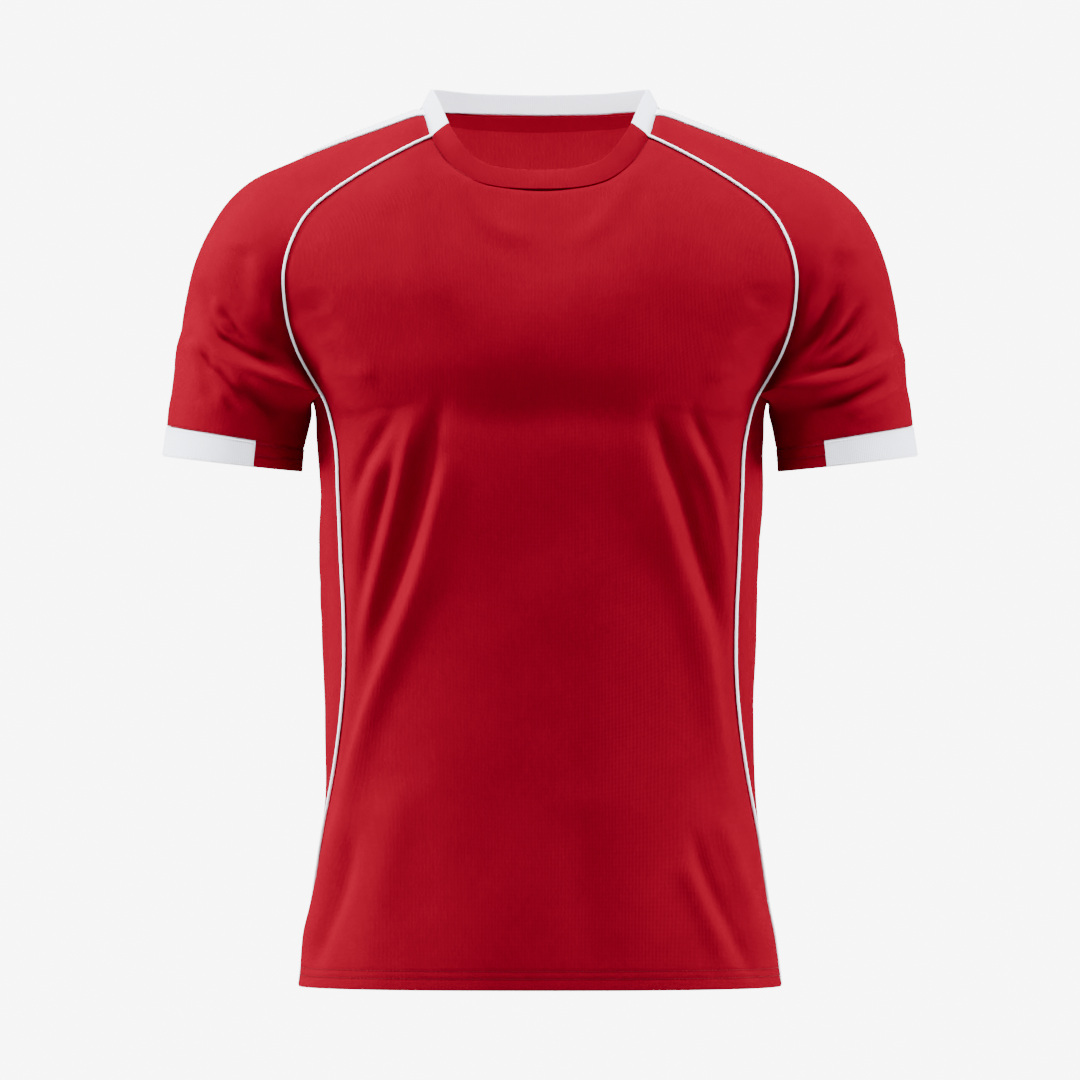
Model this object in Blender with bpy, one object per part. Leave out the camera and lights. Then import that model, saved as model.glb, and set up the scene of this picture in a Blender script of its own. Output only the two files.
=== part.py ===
"""A raglan football jersey, worn and filled out, as separate cut and sewn pieces.

Metres, +Z up, the front faces -Y and the jersey's left sleeve is at +X. The origin is the middle
of the neck at shoulder height, where a wearer's shoulders carry the garment. Every piece of cloth
is a surface worked out from the tables below, with a wall of the cloth's thickness inside it.
"""

from collections import namedtuple
from math import acos, asin, cos, exp, pi, radians, sin

import bpy
from mathutils import Vector

# Cloth
CLOTH = 0.0013  # knit with its seam allowances
RIB = 0.0016  # collar and neckband, folded double
TAPE = 0.0010
SEAM_GAP = 0.0003
PIPING_RADIUS = 0.0016

# Mesh
FRONT_COLUMNS = 24
BACK_COLUMNS = 22
WRAP_COLUMNS = 3  # from the back panel's own width round to the piped side seam
RAGLAN_ROWS = 11  # neck to underarm
BODY_ROWS = 15  # underarm to hem
SLEEVE_COLUMNS = 7  # from a raglan seam to the shoulder ridge
INNER_COLUMNS = 4  # across the underarm, from the front seam to the back seam
TUBE_ROWS = 4  # underarm to the top of the cuff band
CUFF_ROWS = 2

# Body
RING_POWER = 2.5  # 2 is an ellipse, higher is squarer
ARCH_POWER = 1.7  # the roundness of the body over the shoulder, seen from the side
Ring = namedtuple("Ring", "z half_width front_depth back_depth")
BODY_RINGS = (
    Ring(0.060, 0.320, 0.110, 0.112),
    Ring(0.000, 0.315, 0.112, 0.114),
    Ring(-0.080, 0.285, 0.116, 0.116),
    Ring(-0.120, 0.255, 0.119, 0.116),
    Ring(-0.150, 0.230, 0.121, 0.115),
    Ring(-0.180, 0.206, 0.121, 0.113),
    Ring(-0.2050, 0.1900, 0.1200, 0.110),
    Ring(-0.2300, 0.1790, 0.1165, 0.107),
    Ring(-0.2550, 0.1775, 0.1105, 0.104),
    Ring(-0.3000, 0.1750, 0.1060, 0.102),
    Ring(-0.3500, 0.1720, 0.1030, 0.099),
    Ring(-0.4200, 0.1708, 0.101, 0.096),
    Ring(-0.5200, 0.1706, 0.102, 0.098),
    Ring(-0.5700, 0.1738, 0.106, 0.102),
    Ring(-0.6210, 0.1800, 0.111, 0.107),
    Ring(-0.6480, 0.1855, 0.114, 0.110),
    Ring(-0.6876, 0.1910, 0.117, 0.113),
)
HEM_Z = -0.6876

# The top of the body, seen from the front: where the front and the back meet over the shoulder.
Ridge = namedtuple("Ridge", "x front_z back_z arch_height")
RIDGE = (
    Ridge(0.0000, 0.0000, 0.0595, 0.200),
    Ridge(0.0500, 0.0040, 0.0456, 0.185),
    Ridge(0.0750, 0.0080, 0.0280, 0.170),
    Ridge(0.0935, 0.0105, 0.0160, 0.160),
    Ridge(0.1150, 0.0020, 0.0035, 0.148),
    Ridge(0.1320, -0.0055, -0.0050, 0.140),
    Ridge(0.1700, -0.0215, -0.0215, 0.128),
    Ridge(0.2030, -0.0355, -0.0355, 0.118),
)

# The side seam, which is piped: how far in front of (-) or behind (+) the side it runs.
SideSeam = namedtuple("SideSeam", "z y")
SIDE_SEAM = (
    SideSeam(-0.2600, -0.0590),
    SideSeam(-0.3000, -0.0580),
    SideSeam(-0.3500, -0.0560),
    SideSeam(-0.4000, -0.0570),
    SideSeam(-0.4500, -0.0560),
    SideSeam(-0.5000, -0.0490),
    SideSeam(-0.5400, -0.0380),
    SideSeam(-0.5800, -0.0220),
    SideSeam(-0.6200, -0.0070),
    SideSeam(-0.6600, 0.0060),
    SideSeam(-0.6876, 0.0120),
)

# The sleeve from the neck to the underarm: the outline's top, and the front and back raglan seams.
Raglan = namedtuple("Raglan", "top_x top_z front_x front_z back_x back_z")
RAGLAN = (
    Raglan(0.0935, 0.0105, 0.0843, -0.0185, 0.0905, 0.0130),
    Raglan(0.1320, -0.0055, 0.1250, -0.0405, 0.1290, -0.0090),
    Raglan(0.1700, -0.0215, 0.1600, -0.0635, 0.1576, -0.0252),
    Raglan(0.2030, -0.0355, 0.1805, -0.0815, 0.1770, -0.0435),
    Raglan(0.2300, -0.0492, 0.1925, -0.1020, 0.1880, -0.0703),
    Raglan(0.2510, -0.0675, 0.1995, -0.1235, 0.1940, -0.0964),
    Raglan(0.2650, -0.0900, 0.2010, -0.1430, 0.1953, -0.1194),
    Raglan(0.2745, -0.1150, 0.1980, -0.1680, 0.1936, -0.1450),
    Raglan(0.2808, -0.1411, 0.1905, -0.1900, 0.1905, -0.1750),
    Raglan(0.2850, -0.1630, 0.1805, -0.2085, 0.1835, -0.2000),
    Raglan(0.2885, -0.1830, 0.1715, -0.2235, 0.1760, -0.2188),
)

# The sleeve below the underarm, a tube.
Tube = namedtuple("Tube", "inner_x inner_z outer_x outer_z front_depth back_depth")
SLEEVE_TUBE = (
    Tube(0.1822, -0.2380, 0.2920, -0.2080, 0.0640, 0.0620),
    Tube(0.1850, -0.2510, 0.2948, -0.2270, 0.0610, 0.0600),
    Tube(0.1874, -0.2620, 0.2968, -0.2440, 0.0590, 0.0585),
    Tube(0.1890, -0.2806, 0.3002, -0.2682, 0.0575, 0.0575),
)
SLEEVE_BULGE = 0.038  # how far the sleeve swells out of the armhole seam, as a curve handle
SLEEVE_TOP_REACH = 0.056
CUFF_DIP = 0.0040  # the cuff hangs lower at its front than at its back
CUFF_BAND_ANGLE = radians(111)  # how far the white band goes either side of the outside
TUBE_CORNER_ANGLE = radians(146)  # where the raglan seams' lines end on the tube

BAND_COLUMN = 2  # the white band's ends lie on this column and its like at the back

# Neck
NECK_MIDDLE_Y = -0.010
FRONT_NECK_Z = -0.0620
BACK_NECK_Z = 0.0135
NECKBAND_WIDTH = 0.0160
NECKBAND_HEIGHTS = (NECKBAND_WIDTH, NECKBAND_WIDTH / 2, SEAM_GAP)
NECKBAND_LEAN = 0.45  # inwards for each unit up
NECK_TAPE_WIDTH = 0.0150

# Shoulder tape
TapeRow = namedtuple("TapeRow", "row front_column back_column")  # in the sleeve's rows and columns
SHOULDER_TAPE = (
    TapeRow(0.12, 3.30, 4.65),
    TapeRow(1.00, 4.00, 5.40),
    TapeRow(2.00, 4.85, 5.85),
    TapeRow(2.80, 5.50, 5.80),
)

# The largest folds. Each runs down the cloth from a top point, through a middle x half way down, to
# a bottom point. Height is outwards, so a trough's is negative.
Fold = namedtuple("Fold", "face top_x top_z middle_x bottom_x bottom_z half_width height")
FOLDS = (
    Fold("front", -0.0900, -0.240, -0.112, -0.128, -0.430, 0.019, -0.0060),
    Fold("front", -0.0620, -0.245, -0.086, -0.134, -0.530, 0.022, 0.0080),
    Fold("front", -0.1150, -0.440, -0.137, -0.168, -0.640, 0.019, 0.0060),
    Fold("front", 0.0780, -0.240, 0.109, 0.170, -0.625, 0.021, 0.0085),
    Fold("front", 0.1080, -0.240, 0.130, 0.154, -0.440, 0.017, -0.0055),
    Fold("back", 0.0530, -0.150, 0.088, 0.166, -0.630, 0.021, 0.0090),
    Fold("back", 0.0950, -0.170, 0.116, 0.133, -0.450, 0.020, -0.0070),
    Fold("back", -0.0470, -0.150, -0.074, -0.168, -0.640, 0.021, 0.0090),
    Fold("back", -0.0830, -0.165, -0.106, -0.135, -0.510, 0.019, -0.0075),
    Fold("front", -0.2770, -0.125, -0.242, -0.200, -0.212, 0.011, -0.0055),
    Fold("front", -0.2860, -0.155, -0.258, -0.224, -0.240, 0.010, 0.0045),
    Fold("front", 0.2680, -0.140, 0.236, 0.200, -0.215, 0.011, -0.0055),
    Fold("front", 0.2820, -0.170, 0.257, 0.228, -0.243, 0.010, 0.0045),
    Fold("back", 0.2640, -0.095, 0.237, 0.200, -0.208, 0.011, -0.0055),
    Fold("back", 0.2780, -0.140, 0.249, 0.214, -0.235, 0.010, 0.0045),
    Fold("back", -0.2680, -0.090, -0.239, -0.200, -0.212, 0.011, -0.0055),
    Fold("back", -0.2800, -0.135, -0.251, -0.216, -0.236, 0.010, 0.0045),
)

SLEEVE_FOLD_DEPTH = 0.030  # nearer the sleeve's outside than this its folds die out

# name: colour, roughness
FINISHES = {
    "red_knit": ((0.52, 0.012, 0.025, 1), 0.62),
    "dark_red_tape": ((0.22, 0.004, 0.010, 1), 0.70),
    "white_rib": ((0.80, 0.81, 0.84, 1), 0.65),
}


def smooth_value(table, key, column, at):
    """The column's value at this key, on a smooth curve through the table's rows."""
    rows = sorted(table, key=lambda row: getattr(row, key))
    keys = [getattr(row, key) for row in rows]
    values = [getattr(row, column) for row in rows]
    at = min(max(at, keys[0]), keys[-1])
    i = max(j for j in range(len(keys) - 1) if keys[j] <= at)

    def slope(j):
        low, high = max(j - 1, 0), min(j + 1, len(keys) - 1)
        return (values[high] - values[low]) / (keys[high] - keys[low])

    span = keys[i + 1] - keys[i]
    t = (at - keys[i]) / span
    return (
        values[i] * (2 * t**3 - 3 * t**2 + 1)
        + values[i + 1] * (3 * t**2 - 2 * t**3)
        + slope(i) * span * (t**3 - 2 * t**2 + t)
        + slope(i + 1) * span * (t**3 - t**2)
    )


def smooth_row(table, part):
    """A row between the table's rows, part (0 to 1) of the way from the first to the last."""
    place = part * (len(table) - 1)
    i = min(int(place), len(table) - 2)
    t = place - i

    def value(column):
        a, b, c, d = (
            getattr(table[min(max(j, 0), len(table) - 1)], column) for j in range(i - 1, i + 3)
        )
        slope_in, slope_out = (c - a) / 2, (d - b) / 2
        return (
            b * (2 * t**3 - 3 * t**2 + 1)
            + c * (3 * t**2 - 2 * t**3)
            + slope_in * (t**3 - 2 * t**2 + t)
            + slope_out * (t**3 - t**2)
        )

    return type(table[0])(*(value(column) for column in table[0]._fields))


def body_ring(z):
    return Ring(z, *(smooth_value(BODY_RINGS, "z", name, z) for name in Ring._fields[1:]))


def arch(x, z, face):
    """How much of the body's depth is reached at this height, from 0 on the shoulder ridge to 1."""
    ridge_z = smooth_value(RIDGE, "x", face + "_z", abs(x))
    height = smooth_value(RIDGE, "x", "arch_height", abs(x))
    part = min(max((ridge_z - z) / height, 0.0), 1.0)
    return (1 - (1 - part) ** ARCH_POWER) ** (1 / ARCH_POWER)


def body_surface(x, z, face):
    """The point of the front or the back panel's outer face at this x and z."""
    ring = body_ring(z)
    across = min(abs(x) / ring.half_width, 1.0)
    depth = (1 - across**RING_POWER) ** (1 / RING_POWER) * arch(x, z, face)
    y = -ring.front_depth * depth if face == "front" else ring.back_depth * depth
    return Vector((x, y, z))


def ring_point(z, angle):
    """A point of the body below the underarm. Angle 0 is the front, pi / 2 is the side at +X."""
    ring = body_ring(z)
    turn = 2 / RING_POWER
    x = ring.half_width * abs(sin(angle)) ** turn * (1 if sin(angle) > 0 else -1)
    depth = ring.front_depth if cos(angle) > 0 else ring.back_depth
    y = -depth * abs(cos(angle)) ** turn * (1 if cos(angle) > 0 else -1)
    return Vector((x, y, z))


def side_seam_angle(z):
    foot = RAGLAN[-1]
    top = SideSeam(foot.front_z, body_surface(foot.front_x, foot.front_z, "front").y)
    y = smooth_value((top, *SIDE_SEAM), "z", "y", z)
    ring = body_ring(z)
    if y < 0:
        return acos((-y / ring.front_depth) ** (RING_POWER / 2))
    return pi - acos((y / ring.back_depth) ** (RING_POWER / 2))


def back_line_angle(z):
    """Where the raglan seam's foot on the back panel would run on down to the hem."""
    foot = RAGLAN[-1]
    y = body_surface(foot.back_x, foot.back_z, "back").y
    return pi - acos((y / body_ring(z).back_depth) ** (RING_POWER / 2))


def smooth_step(t):
    t = min(max(t, 0.0), 1.0)
    return t * t * (3 - 2 * t)


def fold_height(x, z, face):
    """How far the folds move the cloth outwards here."""
    height = 0.0
    for fold in FOLDS:
        down = (fold.top_z - z) / (fold.top_z - fold.bottom_z)
        if fold.face != face or not 0 < down < 1:
            continue
        bend = 2 * fold.middle_x - (fold.top_x + fold.bottom_x) / 2
        line_x = fold.top_x * (1 - down) ** 2 + 2 * bend * down * (1 - down)
        line_x += fold.bottom_x * down**2
        slope = (fold.bottom_x - fold.top_x) / (fold.top_z - fold.bottom_z)
        across = (x - line_x) / (1 + slope**2) ** 0.5
        taper = smooth_step(down / 0.25) * smooth_step((1 - down) / 0.30)
        height += fold.height * exp(-((across / fold.half_width) ** 2)) * taper
    return height


def outward(grid, row, column):
    """The grid's unit normal at one point, from its neighbours."""
    rows, columns = len(grid), len(grid[row])
    above, below = grid[max(row - 1, 0)], grid[min(row + 1, rows - 1)]
    left, right = max(column - 1, 0), min(column + 1, columns - 1)
    down = below[min(column, len(below) - 1)] - above[min(column, len(above) - 1)]
    across = grid[row][right] - grid[row][left]
    return across.cross(-down).normalized()


def folded(grid, face):
    """The grid with its folds, which die out towards the seams at the ends of each row."""
    moved = []
    for i, row in enumerate(grid):
        line = []
        for j, point in enumerate(row):
            clear_of_seam = min(j, len(row) - 1 - j) / 2
            height = fold_height(point.x, point.z, face) * min(clear_of_seam, 1.0)
            line.append(point + outward(grid, i, j) * height)
        moved.append(line)
    return moved


def folded_sleeve(rows, side, seams):
    """A sleeve's rows with its folds. Where the rows end in raglan seams the folds die out there."""
    moved = []
    for row in rows:
        line = []
        for j, point in enumerate(row):
            face = "front" if point.y < 0 else "back"
            height = fold_height(side * point.x, point.z, face)
            share = min(abs(point.y) / SLEEVE_FOLD_DEPTH, 1.0)
            if seams:
                share *= min(min(j, len(row) - 1 - j) / 2, 1.0)
            line.append(point + Vector((0, -1 if face == "front" else 1, 0)) * height * share)
        moved.append(line)
    return moved


def front_rows():
    """The front panel, neckline to hem, each row from the seam at -X to the seam at +X."""
    rows = []
    flat_below = -0.125  # rows under this height are level, rows above it bend to the neckline
    corner = RAGLAN[0]
    for k in range(RAGLAN_ROWS + 1):
        edge = smooth_row(RAGLAN, k / RAGLAN_ROWS)
        rise = max(edge.front_z - flat_below, 0) / (corner.front_z - flat_below)
        middle_z = edge.front_z - rise * (corner.front_z - FRONT_NECK_Z)
        angle = asin(min(edge.front_x / body_ring(edge.front_z).half_width, 1) ** (RING_POWER / 2))
        row = []
        for j in range(FRONT_COLUMNS + 1):
            u = 2 * j / FRONT_COLUMNS - 1
            x = edge.front_x * (sin(abs(u) * angle) / sin(angle)) ** (2 / RING_POWER)
            dip = 0.35 * u**2 + 0.65 * u**4
            z = middle_z + (edge.front_z - middle_z) * dip
            row.append(body_surface(x if u > 0 else -x, z, "front"))
        rows.append(row)
    top_z = RAGLAN[-1].front_z
    for k in range(1, BODY_ROWS + 1):
        z = top_z + (HEM_Z - top_z) * k / BODY_ROWS
        angle = side_seam_angle(z)
        rows.append(
            [
                ring_point(z, (2 * j / FRONT_COLUMNS - 1) * angle)
                for j in range(FRONT_COLUMNS + 1)
            ]
        )
    return folded(rows, "front")


def back_rows():
    """The back panel between its raglan seams and the lines below them, neckline to hem."""
    rows = []
    flat_below = -0.130
    corner = RAGLAN[0]
    for k in range(RAGLAN_ROWS + 1):
        edge = smooth_row(RAGLAN, k / RAGLAN_ROWS)
        rise = max(edge.back_z - flat_below, 0) / (corner.back_z - flat_below)
        middle_z = edge.back_z + rise * (BACK_NECK_Z - corner.back_z)
        angle = asin(min(edge.back_x / body_ring(edge.back_z).half_width, 1) ** (RING_POWER / 2))
        row = []
        for j in range(BACK_COLUMNS + 1):
            u = 1 - 2 * j / BACK_COLUMNS
            x = edge.back_x * (sin(abs(u) * angle) / sin(angle)) ** (2 / RING_POWER)
            z = middle_z + (edge.back_z - middle_z) * u**4
            row.append(body_surface(x if u > 0 else -x, z, "back"))
        rows.append(row)
    top_z = RAGLAN[-1].back_z
    for k in range(1, BODY_ROWS + 1):
        z = top_z + (HEM_Z - top_z) * k / BODY_ROWS
        half = pi - back_line_angle(z)
        rows.append(
            [
                ring_point(z, pi - half * (1 - 2 * j / BACK_COLUMNS))
                for j in range(BACK_COLUMNS + 1)
            ]
        )
    return folded(rows, "back")


def underarm_z(part):
    """The height of the underarm seam, part of the way from the front seam to the back seam."""
    foot = RAGLAN[-1]
    return foot.front_z + (foot.back_z - foot.front_z) * part


def wrap_rows(side):
    """The back panel's stretch from the piped seam to its back line, underarm to hem."""
    foot = RAGLAN[-1]
    rows = []
    for k in range(BODY_ROWS + 1):
        row = []
        for j in range(WRAP_COLUMNS + 1):
            part = j / WRAP_COLUMNS
            top = underarm_z(part)
            z = top + (HEM_Z - top) * k / BODY_ROWS
            seam = side_seam_angle(min(z, foot.front_z))
            angle = seam + (back_line_angle(z) - seam) * part
            point = ring_point(z, angle)
            if part == 0:
                along = ring_point(z, angle + 0.01) - point
                point += along.normalized() * SEAM_GAP
            row.append(flipped(point, side))
        rows.append(row)
    return rows


def bezier(a, b, c, d, t):
    s = 1 - t
    return a * s**3 + b * (3 * s * s * t) + c * (3 * s * t * t) + d * t**3


def body_normal(point, face):
    """The outward unit normal of the front or back panel at a point of it."""
    step = 0.002
    beside = body_surface(point.x - step, point.z, face) - body_surface(
        point.x + step, point.z, face
    )
    below = body_surface(point.x, point.z - step, face) - point
    normal = beside.cross(below).normalized()
    return -normal if (normal.y > 0) == (face == "front") else normal


def ring_normal(z, angle):
    """The outward unit normal of the body below the underarm."""
    step = 0.02
    around = ring_point(z, angle + step) - ring_point(z, angle - step)
    down = ring_point(z - 0.004, angle) - ring_point(z + 0.004, angle)
    return down.cross(around).normalized()


def letting_go(part):
    """1 where the sleeve follows the body's curve at the shoulder, 0 where it is a tube of its own."""
    return 1 - smooth_step((part - 0.35) / 0.40)


def sleeve_half(part, face):
    """One row of the raglan sleeve from its front or back seam to the outline's top."""
    edge = smooth_row(RAGLAN, part)
    top = Vector((edge.top_x, 0, edge.top_z))
    x, z = (edge.front_x, edge.front_z) if face == "front" else (edge.back_x, edge.back_z)
    forward = Vector((0, -1 if face == "front" else 1, 0))
    seam = body_surface(x, z, face)
    flat_run = Vector((top.x - seam.x, 0, top.z - seam.z))
    run = flat_run.normalized()
    step = min(0.01, flat_run.length / 4)
    ahead = body_surface(seam.x + run.x * step, seam.z + run.z * step, face)
    natural = (ahead - seam).normalized()
    blend = letting_go(part)
    loose = run * (0.42 * flat_run.length) + forward * SLEEVE_BULGE
    seam_handle = natural * (0.36 * (top - seam).length * blend) + loose * (1 - blend)
    top_reach = 0.55 * abs(seam.y) * blend + SLEEVE_TOP_REACH * (1 - blend)
    seam = seam + seam_handle.normalized() * SEAM_GAP * 1.2
    return [
        bezier(seam, seam + seam_handle, top + forward * top_reach, top, j / SLEEVE_COLUMNS)
        for j in range(SLEEVE_COLUMNS + 1)
    ]


def sleeve_section(part):
    """One row of the raglan sleeve: front seam, over the outline's top, back seam."""
    return sleeve_half(part, "front") + sleeve_half(part, "back")[-2::-1]


def tube_point(tube, angle):
    """A point of the sleeve's tube. Angle 0 is the outside, pi / 2 the front, pi the inside."""
    inner = Vector((tube.inner_x, 0, tube.inner_z))
    outer = Vector((tube.outer_x, 0, tube.outer_z))
    depth = tube.front_depth if sin(angle) > 0 else tube.back_depth
    point = (inner + outer) / 2 + (outer - inner) / 2 * cos(angle)
    point.y = -depth * sin(angle)
    point.z -= CUFF_DIP * sin(angle)
    return point


def tube_normal(tube, angle):
    across = Vector((tube.outer_x - tube.inner_x, 0, tube.outer_z - tube.inner_z))
    half_width = across.length / 2
    depth = tube.front_depth if sin(angle) > 0 else tube.back_depth
    forward = Vector((0, -1, 0))
    out = across.normalized() * (cos(angle) / half_width) + forward * (sin(angle) / depth)
    return out.normalized()


def tube_angles():
    """The angle of each column round the tube: front corner, outside, back corner, inside."""
    outer_half = SLEEVE_COLUMNS
    angles = []
    for j in range(outer_half + 1):
        if j <= BAND_COLUMN:
            share = j / BAND_COLUMN
            angle = TUBE_CORNER_ANGLE + (CUFF_BAND_ANGLE - TUBE_CORNER_ANGLE) * share
        else:
            angle = CUFF_BAND_ANGLE * (1 - (j - BAND_COLUMN) / (outer_half - BAND_COLUMN))
        angles.append(angle)
    angles += [-angle for angle in angles[-2::-1]]
    inside = 2 * (pi - TUBE_CORNER_ANGLE)
    angles += [
        -TUBE_CORNER_ANGLE - inside * j / INNER_COLUMNS for j in range(1, INNER_COLUMNS)
    ]
    return angles


def underarm_points():
    """The sleeve's edge along the underarm seam, from the back seam to the front seam."""
    points = []
    for j in range(1, INNER_COLUMNS):
        part = 1 - j / INNER_COLUMNS
        z = underarm_z(part)
        seam = side_seam_angle(RAGLAN[-1].front_z)
        angle = seam + (back_line_angle(z) - seam) * part
        point = ring_point(z, angle)
        away = Vector((point.x, point.y, 0)).normalized()
        points.append(point + away * (SEAM_GAP * 1.6))
    return points


def tube_parts():
    """How far down the tube each of its rows lies. The cuff is the stretch of its last two rows."""
    cuff_top = 1 - 1 / (len(SLEEVE_TUBE) - 1)
    parts = [cuff_top * k / (TUBE_ROWS - 1) for k in range(TUBE_ROWS)]
    return parts + [cuff_top + (1 - cuff_top) * k / CUFF_ROWS for k in range(1, CUFF_ROWS + 1)]


def sleeve_tube_rows():
    """Closed rows from the underarm down to the cuff."""
    rows = [sleeve_section(1.0) + underarm_points()]
    for part in tube_parts():
        tube = smooth_row(SLEEVE_TUBE, part)
        rows.append([tube_point(tube, angle) for angle in tube_angles()])
    return rows


def cuff_normals():
    """The tube's own normals from the cuff's top down, so that the band's wall and the sleeve's
    stand alike where they meet."""
    tubes = [smooth_row(SLEEVE_TUBE, part) for part in tube_parts()[TUBE_ROWS - 1 :]]
    return [[tube_normal(tube, angle) for angle in tube_angles()] for tube in tubes]


def key_of(point):
    return tuple(round(value * 1e6) for value in point)


def walled(points, faces, thickness, seam_normals):
    """A closed wall inside an open surface. Solidify would lean the two walls of a seam into each
    other, so each seam's points have a normal of their own."""
    surface = bpy.data.meshes.new("surface")
    surface.from_pydata([tuple(p) for p in points], [], faces)
    surface.update()
    inner = []
    for point, vertex in zip(points, surface.vertices):
        own, blend = seam_normals.get(key_of(point), (vertex.normal, 1))
        normal = (own * blend + vertex.normal * (1 - blend)).normalized()
        inner.append(point - normal * thickness)
    bpy.data.meshes.remove(surface)
    count = len(points)
    sides = {}
    for face in faces:
        for start, end in zip(face, face[1:] + face[:1]):
            sides[(start, end)] = (end, start) not in sides
            if (end, start) in sides:
                sides[(end, start)] = False
    rim = [
        [end, start, start + count, end + count]
        for (start, end), open_edge in sides.items()
        if open_edge
    ]
    inside = [[corner + count for corner in reversed(face)] for face in faces]
    return points + inner, faces + inside + rim


def cloth_object(name, finish, blocks, thickness, seam_normals=None):
    points, faces = walled(*joined(blocks), thickness, seam_normals or {})
    mesh = bpy.data.meshes.new(name)
    mesh.from_pydata([tuple(p) for p in points], [], faces)
    mesh.shade_smooth()
    mesh.set_sharp_from_angle(angle=radians(40))
    mesh.materials.append(finish_material(finish))
    piece = bpy.data.objects.new(name, mesh)
    jersey.objects.link(piece)
    return piece


def cord_object(name, finish, points, radius):
    curve = bpy.data.curves.new(name, "CURVE")
    curve.dimensions = "3D"
    curve.bevel_depth = radius
    curve.bevel_resolution = 1
    curve.use_fill_caps = True
    line = curve.splines.new("POLY")
    line.points.add(len(points) - 1)
    for place, point in zip(line.points, points):
        place.co = (*point, 1)
    curve.materials.append(finish_material(finish))
    cord = bpy.data.objects.new(name, curve)
    jersey.objects.link(cord)
    return cord


def finish_material(finish):
    if finish in bpy.data.materials:
        return bpy.data.materials[finish]
    colour, roughness = FINISHES[finish]
    material = bpy.data.materials.new(finish)
    material.use_nodes = True
    shader = material.node_tree.nodes["Principled BSDF"]
    shader.inputs["Base Color"].default_value = colour
    shader.inputs["Roughness"].default_value = roughness
    return material


def joined(blocks):
    """Points and faces of several grids of points that share the points where they meet."""
    points, index, faces = [], {}, []

    def number(point):
        key = key_of(point)
        if key not in index:
            index[key] = len(points)
            points.append(point)
        return index[key]

    for rows, closed, turned in blocks:
        for upper, lower in zip(rows, rows[1:]):
            for j in range(len(upper) if closed else len(upper) - 1):
                k = (j + 1) % len(upper)
                corners = [upper[j], lower[j], lower[k], upper[k]]
                if turned:
                    corners.reverse()
                faces.append([number(corner) for corner in corners])
    return points, faces


def mirrored(rows, side):
    return [[Vector((side * p.x, p.y, p.z)) for p in row] for row in rows]


def flipped(point, side):
    return Vector((side * point.x, point.y, point.z))


def add_front_panel():
    rows = front_rows()
    normals = {}
    for k, row in enumerate(rows):
        for point, side in ((row[0], -1), (row[-1], 1)):
            if k <= RAGLAN_ROWS:
                normal = body_normal(point, "front")
            else:
                normal = flipped(ring_normal(point.z, side_seam_angle(point.z)), side)
            normals[key_of(point)] = (normal, 1)
    cloth_object("front_panel", "red_knit", [(rows, False, False)], CLOTH, normals)


def add_back_panel():
    middle = back_rows()
    normals = {}
    for k, row in enumerate(middle[: RAGLAN_ROWS + 1]):
        for point in (row[0], row[-1]):
            normals[key_of(point)] = (body_normal(point, "back"), 1)
    blocks = [(middle, False, False)]
    for side, column in ((1, 0), (-1, -1)):
        wrap = wrap_rows(side)
        for row, beside in zip(wrap, middle[RAGLAN_ROWS:]):
            row[-1] = beside[column]
            normal = ring_normal(row[0].z, side_seam_angle(row[0].z))
            normals[key_of(row[0])] = (flipped(normal, side), 1)
        blocks.append((wrap, False, side < 0))
    cloth_object("back_panel", "red_knit", blocks, CLOTH, normals)


def sleeve_normals(strap):
    """Along each raglan seam the sleeve's wall stands as the panel's does, down to where the
    sleeve lets go of the body."""
    normals = {}
    for k, row in enumerate(strap):
        blend = letting_go(k / RAGLAN_ROWS)
        normals[key_of(row[0])] = (body_normal(row[0], "front"), blend)
        normals[key_of(row[-1])] = (body_normal(row[-1], "back"), blend)
    return normals


def add_sleeve(name, side):
    strap = [sleeve_section(k / RAGLAN_ROWS) for k in range(RAGLAN_ROWS + 1)]
    strap = folded_sleeve(strap, side, seams=True)
    tube = sleeve_tube_rows()
    tube[0] = strap[-1] + underarm_points()
    tube[1:TUBE_ROWS] = folded_sleeve(tube[1:TUBE_ROWS], side, seams=False)
    normals = {
        key_of(flipped(Vector(value / 1e6 for value in key), side)): (flipped(normal, side), blend)
        for key, (normal, blend) in sleeve_normals(strap).items()
    }
    outer = 2 * SLEEVE_COLUMNS + 1
    cuff_top = 1 + TUBE_ROWS
    for k, (row, directions) in enumerate(zip(tube[TUBE_ROWS:], cuff_normals())):
        for j in range(BAND_COLUMN, outer - BAND_COLUMN):
            if k == 0 or j in (BAND_COLUMN, outer - 1 - BAND_COLUMN):
                normals[key_of(flipped(row[j], side))] = (flipped(directions[j], side), 1)
    inside = [
        row[outer - 1 - BAND_COLUMN :] + row[: BAND_COLUMN + 1] for row in tube[cuff_top - 1 :]
    ]
    blocks = [
        (mirrored(strap, side), False, side < 0),
        (mirrored(tube[:cuff_top], side), True, side < 0),
        (mirrored(inside, side), False, side < 0),
    ]
    cloth_object(name, "red_knit", blocks, CLOTH, normals)


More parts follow.
